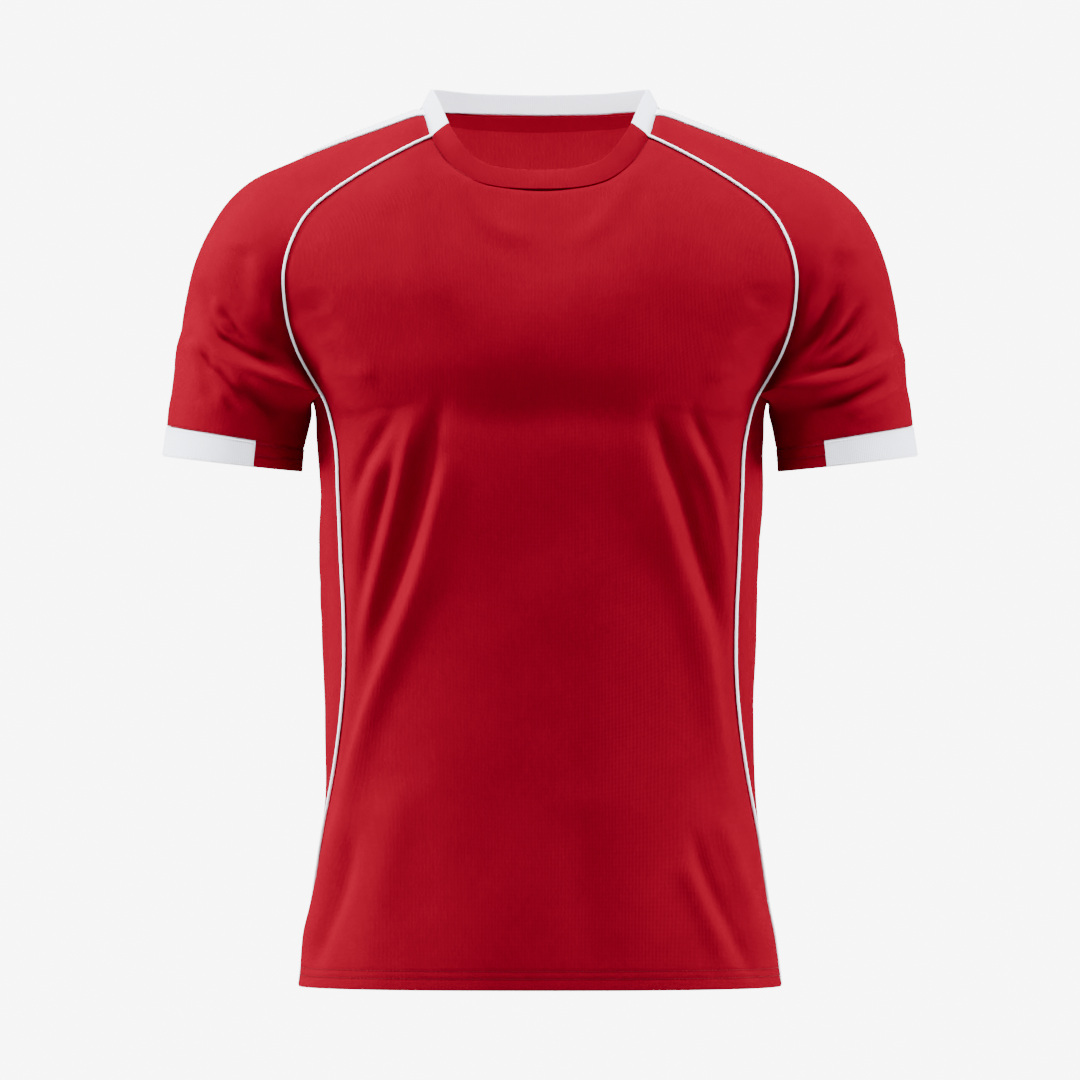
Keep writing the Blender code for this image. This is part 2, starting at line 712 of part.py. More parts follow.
def add_cuff_band(name, side):
    """The white band fills the notch, a seam gap clear of it at its top and at both ends."""
    outer = 2 * SLEEVE_COLUMNS + 1
    band = slice(BAND_COLUMN, outer - BAND_COLUMN)
    rows = [row[band] for row in sleeve_tube_rows()[TUBE_ROWS:]]
    trimmed = []
    normals = {}
    for i, row in enumerate(rows):
        line = [point.copy() for point in row]
        line[0] += (row[1] - row[0]).normalized() * SEAM_GAP
        line[-1] += (row[-2] - row[-1]).normalized() * SEAM_GAP
        if i == 0:
            line = [
                point + (below - above).normalized() * SEAM_GAP
                for point, above, below in zip(line, row, rows[1])
            ]
        trimmed.append([flipped(point, side) for point in line])
        for point, direction in zip(trimmed[-1], cuff_normals()[i][band]):
            normals[key_of(point)] = (flipped(direction, side), 1)
    cloth_object(name, "white_rib", [(trimmed, False, side < 0)], CLOTH, normals)


def neckline():
    """The neck seam all round, from the front corner at -X across the front. Gives its points, and
    how many of them the front neckband takes."""
    front = front_rows()[0]
    left = [neckline_corner(), *sleeve_section(0)[2:-1:2]]
    right = [flipped(point, -1) for point in reversed(left)]
    return front + left[1:] + back_rows()[0] + right[:-1], len(front)


def band_frame(loop, j):
    """The way the neck's bands stand at one point of the neckline, up and leaning in, and the
    direction along the neckline there."""
    point = loop[j % len(loop)]
    along = (loop[(j + 1) % len(loop)] - loop[(j - 1) % len(loop)]).normalized()
    away = Vector((point.x, point.y - NECK_MIDDLE_Y, 0)).normalized()
    up = Vector((0, 0, 1)) - away * NECKBAND_LEAN
    return (up - along * up.dot(along)).normalized(), along


def add_neck_band(name, finish, first, last):
    """A folded band on the neckline from one of its points to another, half a seam gap short of
    each."""
    loop, _ = neckline()
    rows = [[] for _ in NECKBAND_HEIGHTS]
    normals = {}
    for j in range(first, last + 1):
        stand, along = band_frame(loop, j)
        end = (j == first) - (j == last)
        foot = loop[j % len(loop)] + along * (end * SEAM_GAP / 2)
        outwards = along.cross(stand)
        for row, height in zip(rows, NECKBAND_HEIGHTS):
            row.append(foot + stand * height)
            normals[key_of(row[-1])] = (outwards, 1)
    cloth_object(name, finish, [(rows, False, False)], RIB, normals)


def neckline_corner():
    return body_surface(RAGLAN[0].front_x, RAGLAN[0].front_z, "front")


def add_neck_tape():
    """The tape inside the back neck, made from the back panel's points moved in."""
    top, below = back_rows()[:2]
    rows = []
    for share in (0.06, 1.0):
        row = []
        for j in range(1, BACK_COLUMNS):
            edge = top[j] + (below[j] - top[j]) * share * NECK_TAPE_WIDTH / (top[j] - below[j]).length
            inwards = body_normal(body_surface(edge.x, edge.z, "back"), "back")
            row.append(edge - inwards * (CLOTH + 2 * SEAM_GAP))
        rows.append(row)
    cloth_object("neck_tape", "dark_red_tape", [(rows, False, False)], TAPE)


def raglan_piping_points():
    """Along the front raglan seam. Where the sleeve stands out from the body the piping lies beside
    the seam, on the panel's edge."""
    points = []
    clear = PIPING_RADIUS + SEAM_GAP
    for k in range(RAGLAN_ROWS + 1):
        part = k / RAGLAN_ROWS
        edge = smooth_row(RAGLAN, part)
        seam = body_surface(edge.front_x, edge.front_z, "front")
        run = Vector((edge.top_x - seam.x, 0, edge.top_z - seam.z)).normalized() * 0.004
        inwards = (body_surface(seam.x - run.x, seam.z - run.z, "front") - seam).normalized()
        loose = 1 - letting_go(part)
        points.append(seam + body_normal(seam, "front") * clear * 1.2 + inwards * clear * 2.1 * loose)
    points[0] += (points[1] - points[0]).normalized() * PIPING_RADIUS
    points[-1] += (points[-2] - points[-1]).normalized() * PIPING_RADIUS / 2
    return points


def side_piping_points():
    """Along the side seam. It starts on the panel's edge, where the raglan piping ends."""
    points = []
    top_z = RAGLAN[-1].front_z
    for k in range(BODY_ROWS + 1):
        z = top_z + (HEM_Z - top_z) * k / BODY_ROWS
        angle = side_seam_angle(z)
        lift = PIPING_RADIUS * 1.15 + SEAM_GAP
        inwards = (ring_point(z, angle - 0.02) - ring_point(z, angle)).normalized()
        aside = 2.1 * (PIPING_RADIUS + SEAM_GAP) * (1 - smooth_step(k / 4))
        points.append(ring_point(z, angle) + ring_normal(z, angle) * lift + inwards * aside)
    points[0] += (points[1] - points[0]).normalized() * PIPING_RADIUS / 2
    return points


def add_piping(name, points, side):
    cord_object(name, "white_rib", [flipped(point, side) for point in points], PIPING_RADIUS)


def add_shoulder_tape(name, side):
    """The tape along the shoulder, made from the sleeve's rows moved out."""
    rows = []
    for place, front_column, back_column in SHOULDER_TAPE:
        k = int(place)
        upper = sleeve_half(k / RAGLAN_ROWS, "front")
        lower = sleeve_half((k + 1) / RAGLAN_ROWS, "front")
        row = []
        for column in (front_column, (front_column + back_column) / 2, back_column):
            j = int(column)
            near, far = (line[j].lerp(line[j + 1], column - j) for line in (upper, lower))
            normal = (far - near).cross(upper[j + 1] - upper[j]).normalized()
            row.append(near.lerp(far, place - k) + normal * (TAPE + 3 * SEAM_GAP))
        rows.append([flipped(point, side) for point in row])
    cloth_object(name, "white_rib", [(rows, False, side < 0)], TAPE)


for thing in list(bpy.data.objects):
    bpy.data.objects.remove(thing)
jersey = bpy.data.collections.new("football_jersey")
bpy.context.scene.collection.children.link(jersey)

add_front_panel()
add_back_panel()
neck_points, front_count = neckline()
add_neck_band("neckband_front", "red_knit", 0, front_count - 1)
add_neck_band("collar_band", "white_rib", front_count - 1, len(neck_points))
add_neck_tape()
for name, side in (("left", 1), ("right", -1)):
    add_sleeve("sleeve_" + name, side)
    add_cuff_band("cuff_band_" + name, side)
    add_shoulder_tape("shoulder_tape_" + name, side)
    add_piping("raglan_piping_" + name, raglan_piping_points(), side)
    add_piping("side_piping_" + name, side_piping_points(), side)
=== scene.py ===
"""The looks of a raglan football jersey in red and white knit, filled out as it is when worn.

Metres, +Z up, the front faces -Y and the wearer's left sleeve is at +X. Each section makes one piece
of the jersey, or a group of like pieces, in the order in which a maker would put them together. The
last section is the room that it is seen in.
"""

from collections import namedtuple
from functools import partial
from math import pi, radians

import bpy
import numpy as np
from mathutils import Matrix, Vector


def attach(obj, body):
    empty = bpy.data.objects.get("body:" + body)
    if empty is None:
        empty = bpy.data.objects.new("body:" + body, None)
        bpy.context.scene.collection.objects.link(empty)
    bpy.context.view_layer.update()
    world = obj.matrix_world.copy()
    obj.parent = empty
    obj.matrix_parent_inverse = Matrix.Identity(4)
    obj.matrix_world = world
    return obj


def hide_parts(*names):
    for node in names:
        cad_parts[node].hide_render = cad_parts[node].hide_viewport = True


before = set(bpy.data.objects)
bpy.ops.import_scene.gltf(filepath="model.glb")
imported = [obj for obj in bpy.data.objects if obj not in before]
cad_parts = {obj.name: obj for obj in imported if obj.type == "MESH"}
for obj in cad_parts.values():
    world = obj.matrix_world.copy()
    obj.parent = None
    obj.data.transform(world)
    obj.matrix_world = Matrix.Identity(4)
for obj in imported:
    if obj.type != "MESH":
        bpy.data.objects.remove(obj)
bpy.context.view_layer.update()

# --------------------------------------------------------------------------------------------------
# Front panel
# One piece of red polyester knit from the neckline to the hem. It is cut to a curve at each raglan
# seam, sewn to the sleeves there and to the back panel at the piped side seams. It hangs from the
# chest in soft folds that run down and out to the hips.
# --------------------------------------------------------------------------------------------------
CLOTH = 0.0013
PANEL_STEPS = 144  # across the panel
RAGLAN_STEPS = 84  # neck to underarm
BODY_STEPS = 150  # underarm to the hem's stitching
HEM_STEPS = 18
HEM_TURN = 0.0160  # how much of the hem is turned up inside
HEM_MARGIN = 0.0030  # the close rows of points begin this far above the turned part
HEM_ROWS = (HEM_TURN - 0.001, HEM_TURN - 0.007)  # heights of its two rows of stitching
ROW_DEPTH = 0.00045  # how far a row of stitching presses into the cloth
ROW_REACH = 0.0011
HEM_EDGE = 0.0015  # the height over which the wall changes thickness
SECOND_LAYER = 0.9  # what the turned part adds to the wall, as a share of the cloth
FOLD_THICKNESS = 0.55  # the share of the wall that is left at the fold's edge
FOLD_DEPTH = 0.0006  # how far the fold rounds inwards
FOLD_REACH = 0.0016
SEAM_DEPTH = 0.0011  # how far the cloth rolls into a seam
SEAM_REACH = 0.0045
BAND_DIP = 0.0008  # how far it dips under the thick foot of the neckband or the collar
BAND_DIP_REACH = 0.0032
CREASE_CLEARANCE = 0.030  # creases come up to their height within this far of a panel's seam
CREASE_RISE = 0.28  # the part of a crease's length over which it comes up
CREASE_FALL = 0.34  # and over which it dies out
CREASE_STEPS = 20
WAVES = 9  # that make up the cloth's slight unevenness
WAVE_HEIGHT = 0.0006
WAVE_LENGTH = 0.09
WAVE_RANGE = (0.7, 1.5)  # shares of that length
FRONT_FLAT_BELOW = -0.125  # grid rows under this height are level
NECKLINE_ROUND = 0.35  # 1 is a parabola, 0 is flatter in the middle
MIDDLE_ROUNDING = 0.008  # how much of the ridge's middle is rounded over
RING_POWER = 2.5  # 2 is an ellipse, higher is squarer
ARCH_POWER = 1.7  # the roundness of the body over the shoulder, seen from the side
SHARP_ANGLE = radians(60)
TINY = 1e-12  # keeps a line of no length from being divided by
MICROMETRES = 1e6  # in a metre: points whose places agree to one are the same


def table(names, *rows):
    """Named columns of numbers, as arrays."""
    return dict(zip(names.split(), np.array(rows, float).T))


body_rings = table(
    "z half_width front_depth back_depth",
    (0.0600, 0.3200, 0.1100, 0.112),
    (0.0000, 0.3150, 0.1120, 0.114),
    (-0.0800, 0.2850, 0.1160, 0.116),
    (-0.1200, 0.2550, 0.1190, 0.116),
    (-0.1500, 0.2300, 0.1210, 0.115),
    (-0.1800, 0.2060, 0.1210, 0.113),
    (-0.2050, 0.1900, 0.1200, 0.110),
    (-0.2300, 0.1790, 0.1165, 0.107),
    (-0.2550, 0.1775, 0.1105, 0.104),
    (-0.3000, 0.1750, 0.1060, 0.102),
    (-0.3500, 0.1720, 0.1030, 0.099),
    (-0.4200, 0.1708, 0.1010, 0.096),
    (-0.5200, 0.1706, 0.1020, 0.098),
    (-0.5700, 0.1738, 0.1060, 0.102),
    (-0.6210, 0.1800, 0.1110, 0.107),
    (-0.6480, 0.1855, 0.1140, 0.110),
    (-0.6876, 0.1910, 0.1170, 0.113),
)
hem_z = body_rings["z"][-1]

# Where the front and the back of the body meet over the shoulder.
ridge = table(
    "x front_z back_z arch_height",
    (0.0000, 0.0000, 0.0595, 0.200),
    (0.0500, 0.0040, 0.0456, 0.185),
    (0.0750, 0.0080, 0.0280, 0.170),
    (0.0935, 0.0105, 0.0160, 0.160),
    (0.1150, 0.0020, 0.0035, 0.148),
    (0.1320, -0.0055, -0.0050, 0.140),
    (0.1700, -0.0215, -0.0215, 0.128),
    (0.2030, -0.0355, -0.0355, 0.118),
)

# The sleeve from the neck to the underarm: the outline's top, and the front and back raglan seams.
raglan = table(
    "top_x top_z front_x front_z back_x back_z",
    (0.0935, 0.0105, 0.0843, -0.0185, 0.0905, 0.0130),
    (0.1320, -0.0055, 0.1250, -0.0405, 0.1290, -0.0090),
    (0.1700, -0.0215, 0.1600, -0.0635, 0.1576, -0.0252),
    (0.2030, -0.0355, 0.1805, -0.0815, 0.1770, -0.0435),
    (0.2300, -0.0492, 0.1925, -0.1020, 0.1880, -0.0703),
    (0.2510, -0.0675, 0.1995, -0.1235, 0.1940, -0.0964),
    (0.2650, -0.0900, 0.2010, -0.1430, 0.1953, -0.1194),
    (0.2745, -0.1150, 0.1980, -0.1680, 0.1936, -0.1450),
    (0.2808, -0.1411, 0.1905, -0.1900, 0.1905, -0.1750),
    (0.2850, -0.1630, 0.1805, -0.2085, 0.1835, -0.2000),
    (0.2885, -0.1830, 0.1715, -0.2235, 0.1760, -0.2188),
)
FRONT_NECK_Z = -0.0620

# The piped side seam: how far in front of (-) or behind (+) the side it runs. Its top is the
# raglan seam's foot.
side_seam = table(
    "z y",
    (-0.2600, -0.0590),
    (-0.3000, -0.0580),
    (-0.3500, -0.0560),
    (-0.4000, -0.0570),
    (-0.4500, -0.0560),
    (-0.5000, -0.0490),
    (-0.5400, -0.0380),
    (-0.5800, -0.0220),
    (-0.6200, -0.0070),
    (-0.6600, 0.0060),
    (-0.6876, 0.0120),
)

# Each crease runs through the points of its path, as x and z. Height is outwards, so a trough's is
# negative, and a crease that leans is broad on one side and steep on the other.
Crease = namedtuple("Crease", "half_width height lean path")
FRONT_CREASES = (
    Crease(0.0085, 0.0068, 0.3, (
        (-0.0705, -0.270), (-0.0767, -0.300), (-0.095, -0.373), (-0.1285, -0.459), (-0.151, -0.531),
        (-0.160, -0.580),
    )),
    Crease(0.0076, -0.0068, 0.0, (
        (-0.072, -0.224), (-0.086, -0.261), (-0.0934, -0.300), (-0.1015, -0.333), (-0.122, -0.400),
        (-0.144, -0.468),
    )),
    Crease(0.0060, 0.0052, 0.0, (
        (-0.0985, -0.238), (-0.106, -0.2835), (-0.1255, -0.3645), (-0.152, -0.465),
    )),
    Crease(0.0042, -0.0022, 0.0, (
        (-0.1105, -0.2565), (-0.124, -0.315), (-0.1375, -0.369), (-0.148, -0.415),
    )),
    Crease(0.0080, 0.0046, 0.0, (
        (-0.122, -0.270), (-0.1285, -0.2925), (-0.140, -0.3285), (-0.152, -0.405),
    )),
    Crease(0.0060, -0.0044, 0.0, (
        (-0.109, -0.232), (-0.1285, -0.2655), (-0.140, -0.288), (-0.150, -0.315),
    )),
    Crease(0.0110, 0.0072, -0.3, (
        (0.074, -0.242), (0.0897, -0.300), (0.101, -0.3375), (0.126, -0.414), (0.1415, -0.495),
        (0.158, -0.575),
    )),
    Crease(0.0072, -0.0064, 0.0, (
        (0.084, -0.232), (0.101, -0.2745), (0.119, -0.333), (0.139, -0.396), (0.151, -0.450),
    )),
    Crease(0.0062, 0.0050, 0.0, (
        (0.108, -0.238), (0.1235, -0.279), (0.135, -0.3105), (0.148, -0.369), (0.155, -0.420),
    )),
    Crease(0.0052, -0.0038, 0.0, ((0.116, -0.230), (0.128, -0.261), (0.141, -0.290), (0.151, -0.325))),
    Crease(0.0062, -0.0036, 0.0, ((0.118, -0.560), (0.128, -0.5985), (0.155, -0.657), (0.170, -0.684))),
    Crease(0.0080, 0.0034, 0.0, ((0.108, -0.585), (0.128, -0.630), (0.150, -0.682))),
    Crease(0.0085, 0.0048, 0.0, ((0.140, -0.550), (0.1585, -0.610), (0.180, -0.672))),
    Crease(0.0062, -0.0038, 0.0, ((-0.142, -0.560), (-0.153, -0.610), (-0.169, -0.650), (-0.180, -0.684))),
    Crease(0.0085, 0.0048, 0.0, ((-0.150, -0.540), (-0.165, -0.590), (-0.178, -0.640), (-0.186, -0.682))),
    Crease(0.0160, 0.0032, 0.0, ((-0.105, -0.520), (-0.120, -0.590), (-0.136, -0.675))),
    Crease(0.0200, -0.0026, 0.0, ((0.030, -0.540), (0.036, -0.610), (0.040, -0.690))),
    Crease(0.0200, -0.0060, 0.0, (
        (-0.158, -0.238), (-0.080, -0.233), (0.000, -0.237), (0.080, -0.238), (0.158, -0.238),
    )),
    Crease(0.0050, -0.0022, 0.0, ((-0.170, -0.236), (-0.130, -0.2365), (-0.085, -0.232))),
    Crease(0.0050, -0.0020, 0.0, ((0.080, -0.234), (0.125, -0.238), (0.168, -0.236))),
    Crease(0.0070, -0.0032, 0.0, ((-0.203, -0.164), (-0.184, -0.157), (-0.160, -0.156))),
    Crease(0.0070, -0.0026, 0.0, ((-0.198, -0.184), (-0.180, -0.176), (-0.152, -0.170))),
    Crease(0.0070, -0.0034, 0.0, ((0.205, -0.160), (0.184, -0.152), (0.158, -0.150))),
    Crease(0.0080, -0.0026, 0.0, ((0.196, -0.192), (0.176, -0.184), (0.150, -0.182))),
    Crease(0.0090, 0.0030, 0.0, ((-0.176, -0.205), (-0.150, -0.212), (-0.125, -0.212))),
    Crease(0.0090, 0.0030, 0.0, ((0.176, -0.205), (0.152, -0.212), (0.125, -0.212))),
    Crease(0.0090, 0.0024, 0.0, ((-0.072, -0.036), (-0.040, -0.092), (0.000, -0.108))),
    Crease(0.0090, 0.0022, 0.0, ((0.080, -0.040), (0.050, -0.090), (0.015, -0.116))),
)


def smooth_step(t):
    t = np.clip(t, 0, 1)
    return t * t * (3 - 2 * t)


def hermite(start, end, start_slope, end_slope, t):
    return (
        start * (2 * t**3 - 3 * t**2 + 1)
        + end * (3 * t**2 - 2 * t**3)
        + start_slope * (t**3 - 2 * t**2 + t)
        + end_slope * (t**3 - t**2)
    )


def looked_up(keys, values, at):
    """The values on a smooth curve through the keys, which may be in either order."""
    order = np.argsort(keys)
    keys, values = keys[order], values[order]
    steps = np.diff(values) / np.diff(keys)
    inner_slopes = (values[2:] - values[:-2]) / (keys[2:] - keys[:-2])
    slopes = np.concatenate([steps[:1], inner_slopes, steps[-1:]])
    at = np.clip(at, keys[0], keys[-1])
    i = np.clip(np.searchsorted(keys, at, side="right") - 1, 0, len(keys) - 2)
    span = keys[i + 1] - keys[i]
    t = (at - keys[i]) / span
    return hermite(values[i], values[i + 1], slopes[i] * span, slopes[i + 1] * span, t)


def through(values, part):
    """On a smooth curve through the values, part (0 to 1) of the way from the first to the last."""
    place = np.asarray(part, float) * (len(values) - 1)
    i = np.clip(place.astype(int), 0, len(values) - 2)
    before, after = np.maximum(i - 1, 0), np.minimum(i + 2, len(values) - 1)
    slope_in = (values[i + 1] - values[before]) / 2
    slope_out = (values[after] - values[i]) / 2
    t = (place - i).reshape(place.shape + (1,) * (np.ndim(values) - 1))
    return hermite(values[i], values[i + 1], slope_in, slope_out, t)


def of_ring(column, z):
    return looked_up(body_rings["z"], body_rings[column], z)


def xyz(x, y, z):
    return np.stack(np.broadcast_arrays(x, y, z), axis=-1)


def body_surface(x, z, face):
    """A point of the front or the back panel above the underarm."""
    across = np.minimum(np.abs(x) / of_ring("half_width", z), 1)
    from_middle = np.hypot(x, MIDDLE_ROUNDING)
    ridge_z = looked_up(ridge["x"], ridge[face + "_z"], from_middle)
    down = (ridge_z - z) / looked_up(ridge["x"], ridge["arch_height"], from_middle)
    arch = (1 - (1 - np.clip(down, 0, 1)) ** ARCH_POWER) ** (1 / ARCH_POWER)
    depth = of_ring(face + "_depth", z) * (1 - across**RING_POWER) ** (1 / RING_POWER) * arch
    return xyz(x, -depth if face == "front" else depth, z)


def ring_point(z, angle):
    """A point of the body below the underarm. Angle 0 is the front, pi / 2 is the side at +X."""
    turn = 2 / RING_POWER
    x = of_ring("half_width", z) * np.abs(np.sin(angle)) ** turn * np.sign(np.sin(angle))
    depth = np.where(np.cos(angle) > 0, of_ring("front_depth", z), of_ring("back_depth", z))
    return xyz(x, -depth * np.abs(np.cos(angle)) ** turn * np.sign(np.cos(angle)), z)


foot_z = raglan["front_z"][-1]
foot_y = body_surface(raglan["front_x"][-1], foot_z, "front")[1]
seam_z = np.append(side_seam["z"], foot_z)
seam_y = np.append(side_seam["y"], foot_y)


def side_seam_angle(z):
    y = looked_up(seam_z, seam_y, np.minimum(z, foot_z))
    depth = np.where(y < 0, of_ring("front_depth", z), of_ring("back_depth", z))
    forward = np.arccos((np.abs(y) / depth) ** (RING_POWER / 2))
    return np.where(y < 0, forward, pi - forward)


def level_rows(top_z):
    """Heights of the rows from the underarm to the hem, close together in the turned hem."""
    stitched_z = hem_z + HEM_TURN + HEM_MARGIN
    body = top_z + (stitched_z - top_z) * np.linspace(0, 1, BODY_STEPS + 1)[1:]
    return np.concatenate([body, np.linspace(stitched_z, hem_z, HEM_STEPS + 1)[1:]])[:, None]


def across_panel(edge_x, edge_z, u):
    """How far across a panel's points are. Its edges are at u = -1 and 1."""
    angle = np.arcsin(np.minimum(edge_x / of_ring("half_width", edge_z), 1) ** (RING_POWER / 2))
    return edge_x * (np.sin(np.abs(u) * angle) / np.sin(angle)) ** (2 / RING_POWER) * np.sign(u)


def front_grid():
    part = np.linspace(0, 1, RAGLAN_STEPS + 1)[:, None]
    u = np.linspace(-1, 1, PANEL_STEPS + 1)[None, :]
    edge_x, edge_z = through(raglan["front_x"], part), through(raglan["front_z"], part)
    corner_z = raglan["front_z"][0]
    rise = np.maximum(edge_z - FRONT_FLAT_BELOW, 0) / (corner_z - FRONT_FLAT_BELOW)
    middle_z = edge_z - rise * (corner_z - FRONT_NECK_Z)
    curve = NECKLINE_ROUND * u**2 + (1 - NECKLINE_ROUND) * u**4
    z = middle_z + (edge_z - middle_z) * curve
    low_z = level_rows(foot_z)
    upper_part = body_surface(across_panel(edge_x, edge_z, u), z, "front")
    return np.concatenate([upper_part, ring_point(low_z, u * side_seam_angle(low_z))])


def unit(vectors):
    return vectors / np.maximum(np.linalg.norm(vectors, axis=-1, keepdims=True), TINY)


def grid_normals(grid):
    down, across = np.gradient(grid, axis=0), np.gradient(grid, axis=1)
    return unit(np.cross(down, across))


def run_along(grid, axis):
    """Distance from the grid's first row or column to each point, along the cloth."""
    steps = np.linalg.norm(np.diff(grid, axis=axis), axis=-1)
    pad = [(1, 0), (0, 0)] if axis == 0 else [(0, 0), (1, 0)]
    return np.pad(np.cumsum(steps, axis=axis), pad)


def from_sides(grid):
    """Distance to the nearer of the grid's two sides, along the cloth."""
    across = run_along(grid, 1)
    return np.minimum(across, across[:, -1:] - across)


def creased(grid, creases):
    """How far the creases move the cloth outwards at each of the grid's points."""
    x, z = grid[..., 0], grid[..., 2]
    total = np.zeros(x.shape)
    at = np.linspace(0, 1, CREASE_STEPS + 1)
    for crease in creases:
        line = through(np.array(crease.path), at)
        nearest = np.full(x.shape, np.inf)
        along, side = np.zeros(x.shape), np.zeros(x.shape)
        for i in range(CREASE_STEPS):
            (ax, az), (ex, ez) = line[i], line[i + 1] - line[i]
            t = np.clip(((x - ax) * ex + (z - az) * ez) / (ex * ex + ez * ez), 0, 1)
            dx, dz = x - ax - t * ex, z - az - t * ez
            gap = np.hypot(dx, dz)
            closer = gap < nearest
            nearest = np.where(closer, gap, nearest)
            along = np.where(closer, (i + t) / CREASE_STEPS, along)
            side = np.where(closer, np.sign(ex * dz - ez * dx), side)
        width = crease.half_width * (1 + crease.lean * side)
        taper = smooth_step(along / CREASE_RISE) * smooth_step((1 - along) / CREASE_FALL)
        total += crease.height * np.exp(-((nearest / width) ** 2)) * taper
    return total


def unevenness(grid, length, seed):
    """The heights of soft, shapeless waves of about the given length."""
    random = np.random.RandomState(seed)
    total = np.zeros(grid.shape[:2])
    for _ in range(WAVES):
        direction = unit(random.normal(size=3)) * 2 * pi / (length * random.uniform(*WAVE_RANGE))
        total += np.sin(grid @ direction + random.uniform(0, 2 * pi))
    return WAVE_HEIGHT * (total / WAVES**0.5)


def dip(distance, depth, reach):
    """A dent in the cloth, deepest where the distance is 0."""
    return -depth * np.exp(-((distance / reach) ** 2))


def rolled_in(distance):
    """The roll of the cloth into a seam this far away."""
    return dip(distance, SEAM_DEPTH, SEAM_REACH)


def under_band(distance):
    """The dip of the cloth under the thick foot of the neckband or the collar, this far away."""
    return dip(distance, BAND_DIP, BAND_DIP_REACH)


def cut_map(grid):
    """Each point's place on the flat cloth, in metres, across from the middle and up."""
    across, down = run_along(grid, 1), run_along(grid, 0)
    middle = grid.shape[1] // 2
    return np.stack([across - across[:, middle : middle + 1], down[-1:] - down], axis=-1)


def in_scene(name, data):
    thing = bpy.data.objects.new(name, data)
    bpy.context.scene.collection.objects.link(thing)
    return thing


def smooth_piece(name, points, faces, cut, material):
    """A piece from its points and faces, with the place on the flat cloth of each face's corners."""
    mesh = bpy.data.meshes.new(name)
    mesh.from_pydata(points.tolist(), [], faces)
    layer = mesh.uv_layers.new(name="cut")
    layer.data.foreach_set("uv", cut.reshape(-1))
    mesh.shade_smooth()
    mesh.set_sharp_from_angle(angle=SHARP_ANGLE)
    mesh.materials.append(material)
    return in_scene(name, mesh)


def point_normals(points, quads):
    """The way out of the cloth at each point."""
    surface = bpy.data.meshes.new("surface")
    surface.from_pydata(points.tolist(), [], quads.tolist())
    normals = np.empty(len(points) * 3)
    surface.vertex_normals.foreach_get("vector", normals)
    bpy.data.meshes.remove(surface)
    return normals.reshape(-1, 3)


def cloth_piece(name, blocks, material):
    """A closed wall inside grids of points that share the points where they meet. Each block is a
    grid, its cut map and the wall's thickness there."""
    points = np.concatenate([grid.reshape(-1, 3) for grid, _, _ in blocks])
    cut = np.concatenate([flat_place.reshape(-1, 2) for _, flat_place, _ in blocks])
    depth = np.concatenate([np.broadcast_to(wall, grid.shape[:2]).ravel() for grid, _, wall in blocks])
    faces, start = [], 0
    for grid, _, _ in blocks:
        rows, columns = grid.shape[:2]
        n = start + np.arange(rows * columns).reshape(rows, columns)
        faces.append(np.stack([n[:-1, :-1], n[1:, :-1], n[1:, 1:], n[:-1, 1:]], -1).reshape(-1, 4))
        start += rows * columns
    corners = np.concatenate(faces)
    places = np.round(points * MICROMETRES).astype(np.int64)
    _, first, merged = np.unique(places, axis=0, return_index=True, return_inverse=True)
    quads = merged.reshape(-1)[corners]
    shell = points[first]
    inner = shell - point_normals(shell, quads) * depth[first][:, None]
    count = len(shell)
    edges = np.stack([quads, np.roll(quads, -1, axis=1)], -1).reshape(-1, 2)
    keys = edges[:, 0] * count + edges[:, 1]
    open_edges = edges[~np.isin(edges[:, 1] * count + edges[:, 0], keys)]
    rim = np.concatenate([open_edges[:, ::-1], open_edges + count], axis=1)
    every = np.concatenate([quads, quads[:, ::-1] + count, rim])
    place = np.concatenate([cut[corners], cut[corners[:, ::-1]], cut[first][rim % count]])
    return smooth_piece(name, np.concatenate([shell, inner]), every.tolist(), place, material)


def hem_thickness(grid, row_start):
    """The hem is turned up inside, so the wall is double there and rounds off at its edge."""
    up = grid[..., 2] - hem_z
    double = 1 - smooth_step((up - HEM_TURN) / HEM_EDGE)
    double[:row_start] = 0
    edge = FOLD_THICKNESS + (1 - FOLD_THICKNESS) * smooth_step(up / HEM_EDGE)
    return CLOTH * (1 + SECOND_LAYER * double) * np.where(double > 0, edge, 1)


def hem_relief(grid, row_start):
    """The two rows of stitching press into the cloth, and the fold at the edge rounds inwards."""
    up = grid[..., 2] - hem_z
    relief = sum(dip(up - at, ROW_DEPTH, ROW_REACH) for at in HEM_ROWS)
    relief -= FOLD_DEPTH * (1 - smooth_step(up / FOLD_REACH))
    relief[:row_start] = 0
    return relief


def nodes_of(owner):
    """The nodes and the links of a new material or world."""
    owner.use_nodes = True
    return owner.node_tree.nodes, owner.node_tree.links


def node_with(nodes, kind, **values):
    """A new node with its inputs set."""
    node = nodes.new(kind)
    for socket, value in values.items():
        node.inputs[socket].default_value = value
    return node


def math_node(nodes, links, kind, first, second=None):
    """What comes out of a sum on sockets and numbers."""
    node = nodes.new("ShaderNodeMath")
    node.operation = kind
    for socket, value in zip(node.inputs, (first, second)):
        if isinstance(value, (int, float)):
            socket.default_value = value
        elif value is not None:
            links.new(value, socket)
    return node.outputs[0]


LOOP_SLANT = 1.9  # how steep each loop's V is
LOOP_FLOOR = 0.6  # a column's height between its loops, which rise 1 above it
YARN_GROOVE_SHADE = 0.42  # how much painted shade the grooves between the loops get from the yarn's height
DYE_SHADE = 0.30  # and how much the dye's own uneven tone takes part
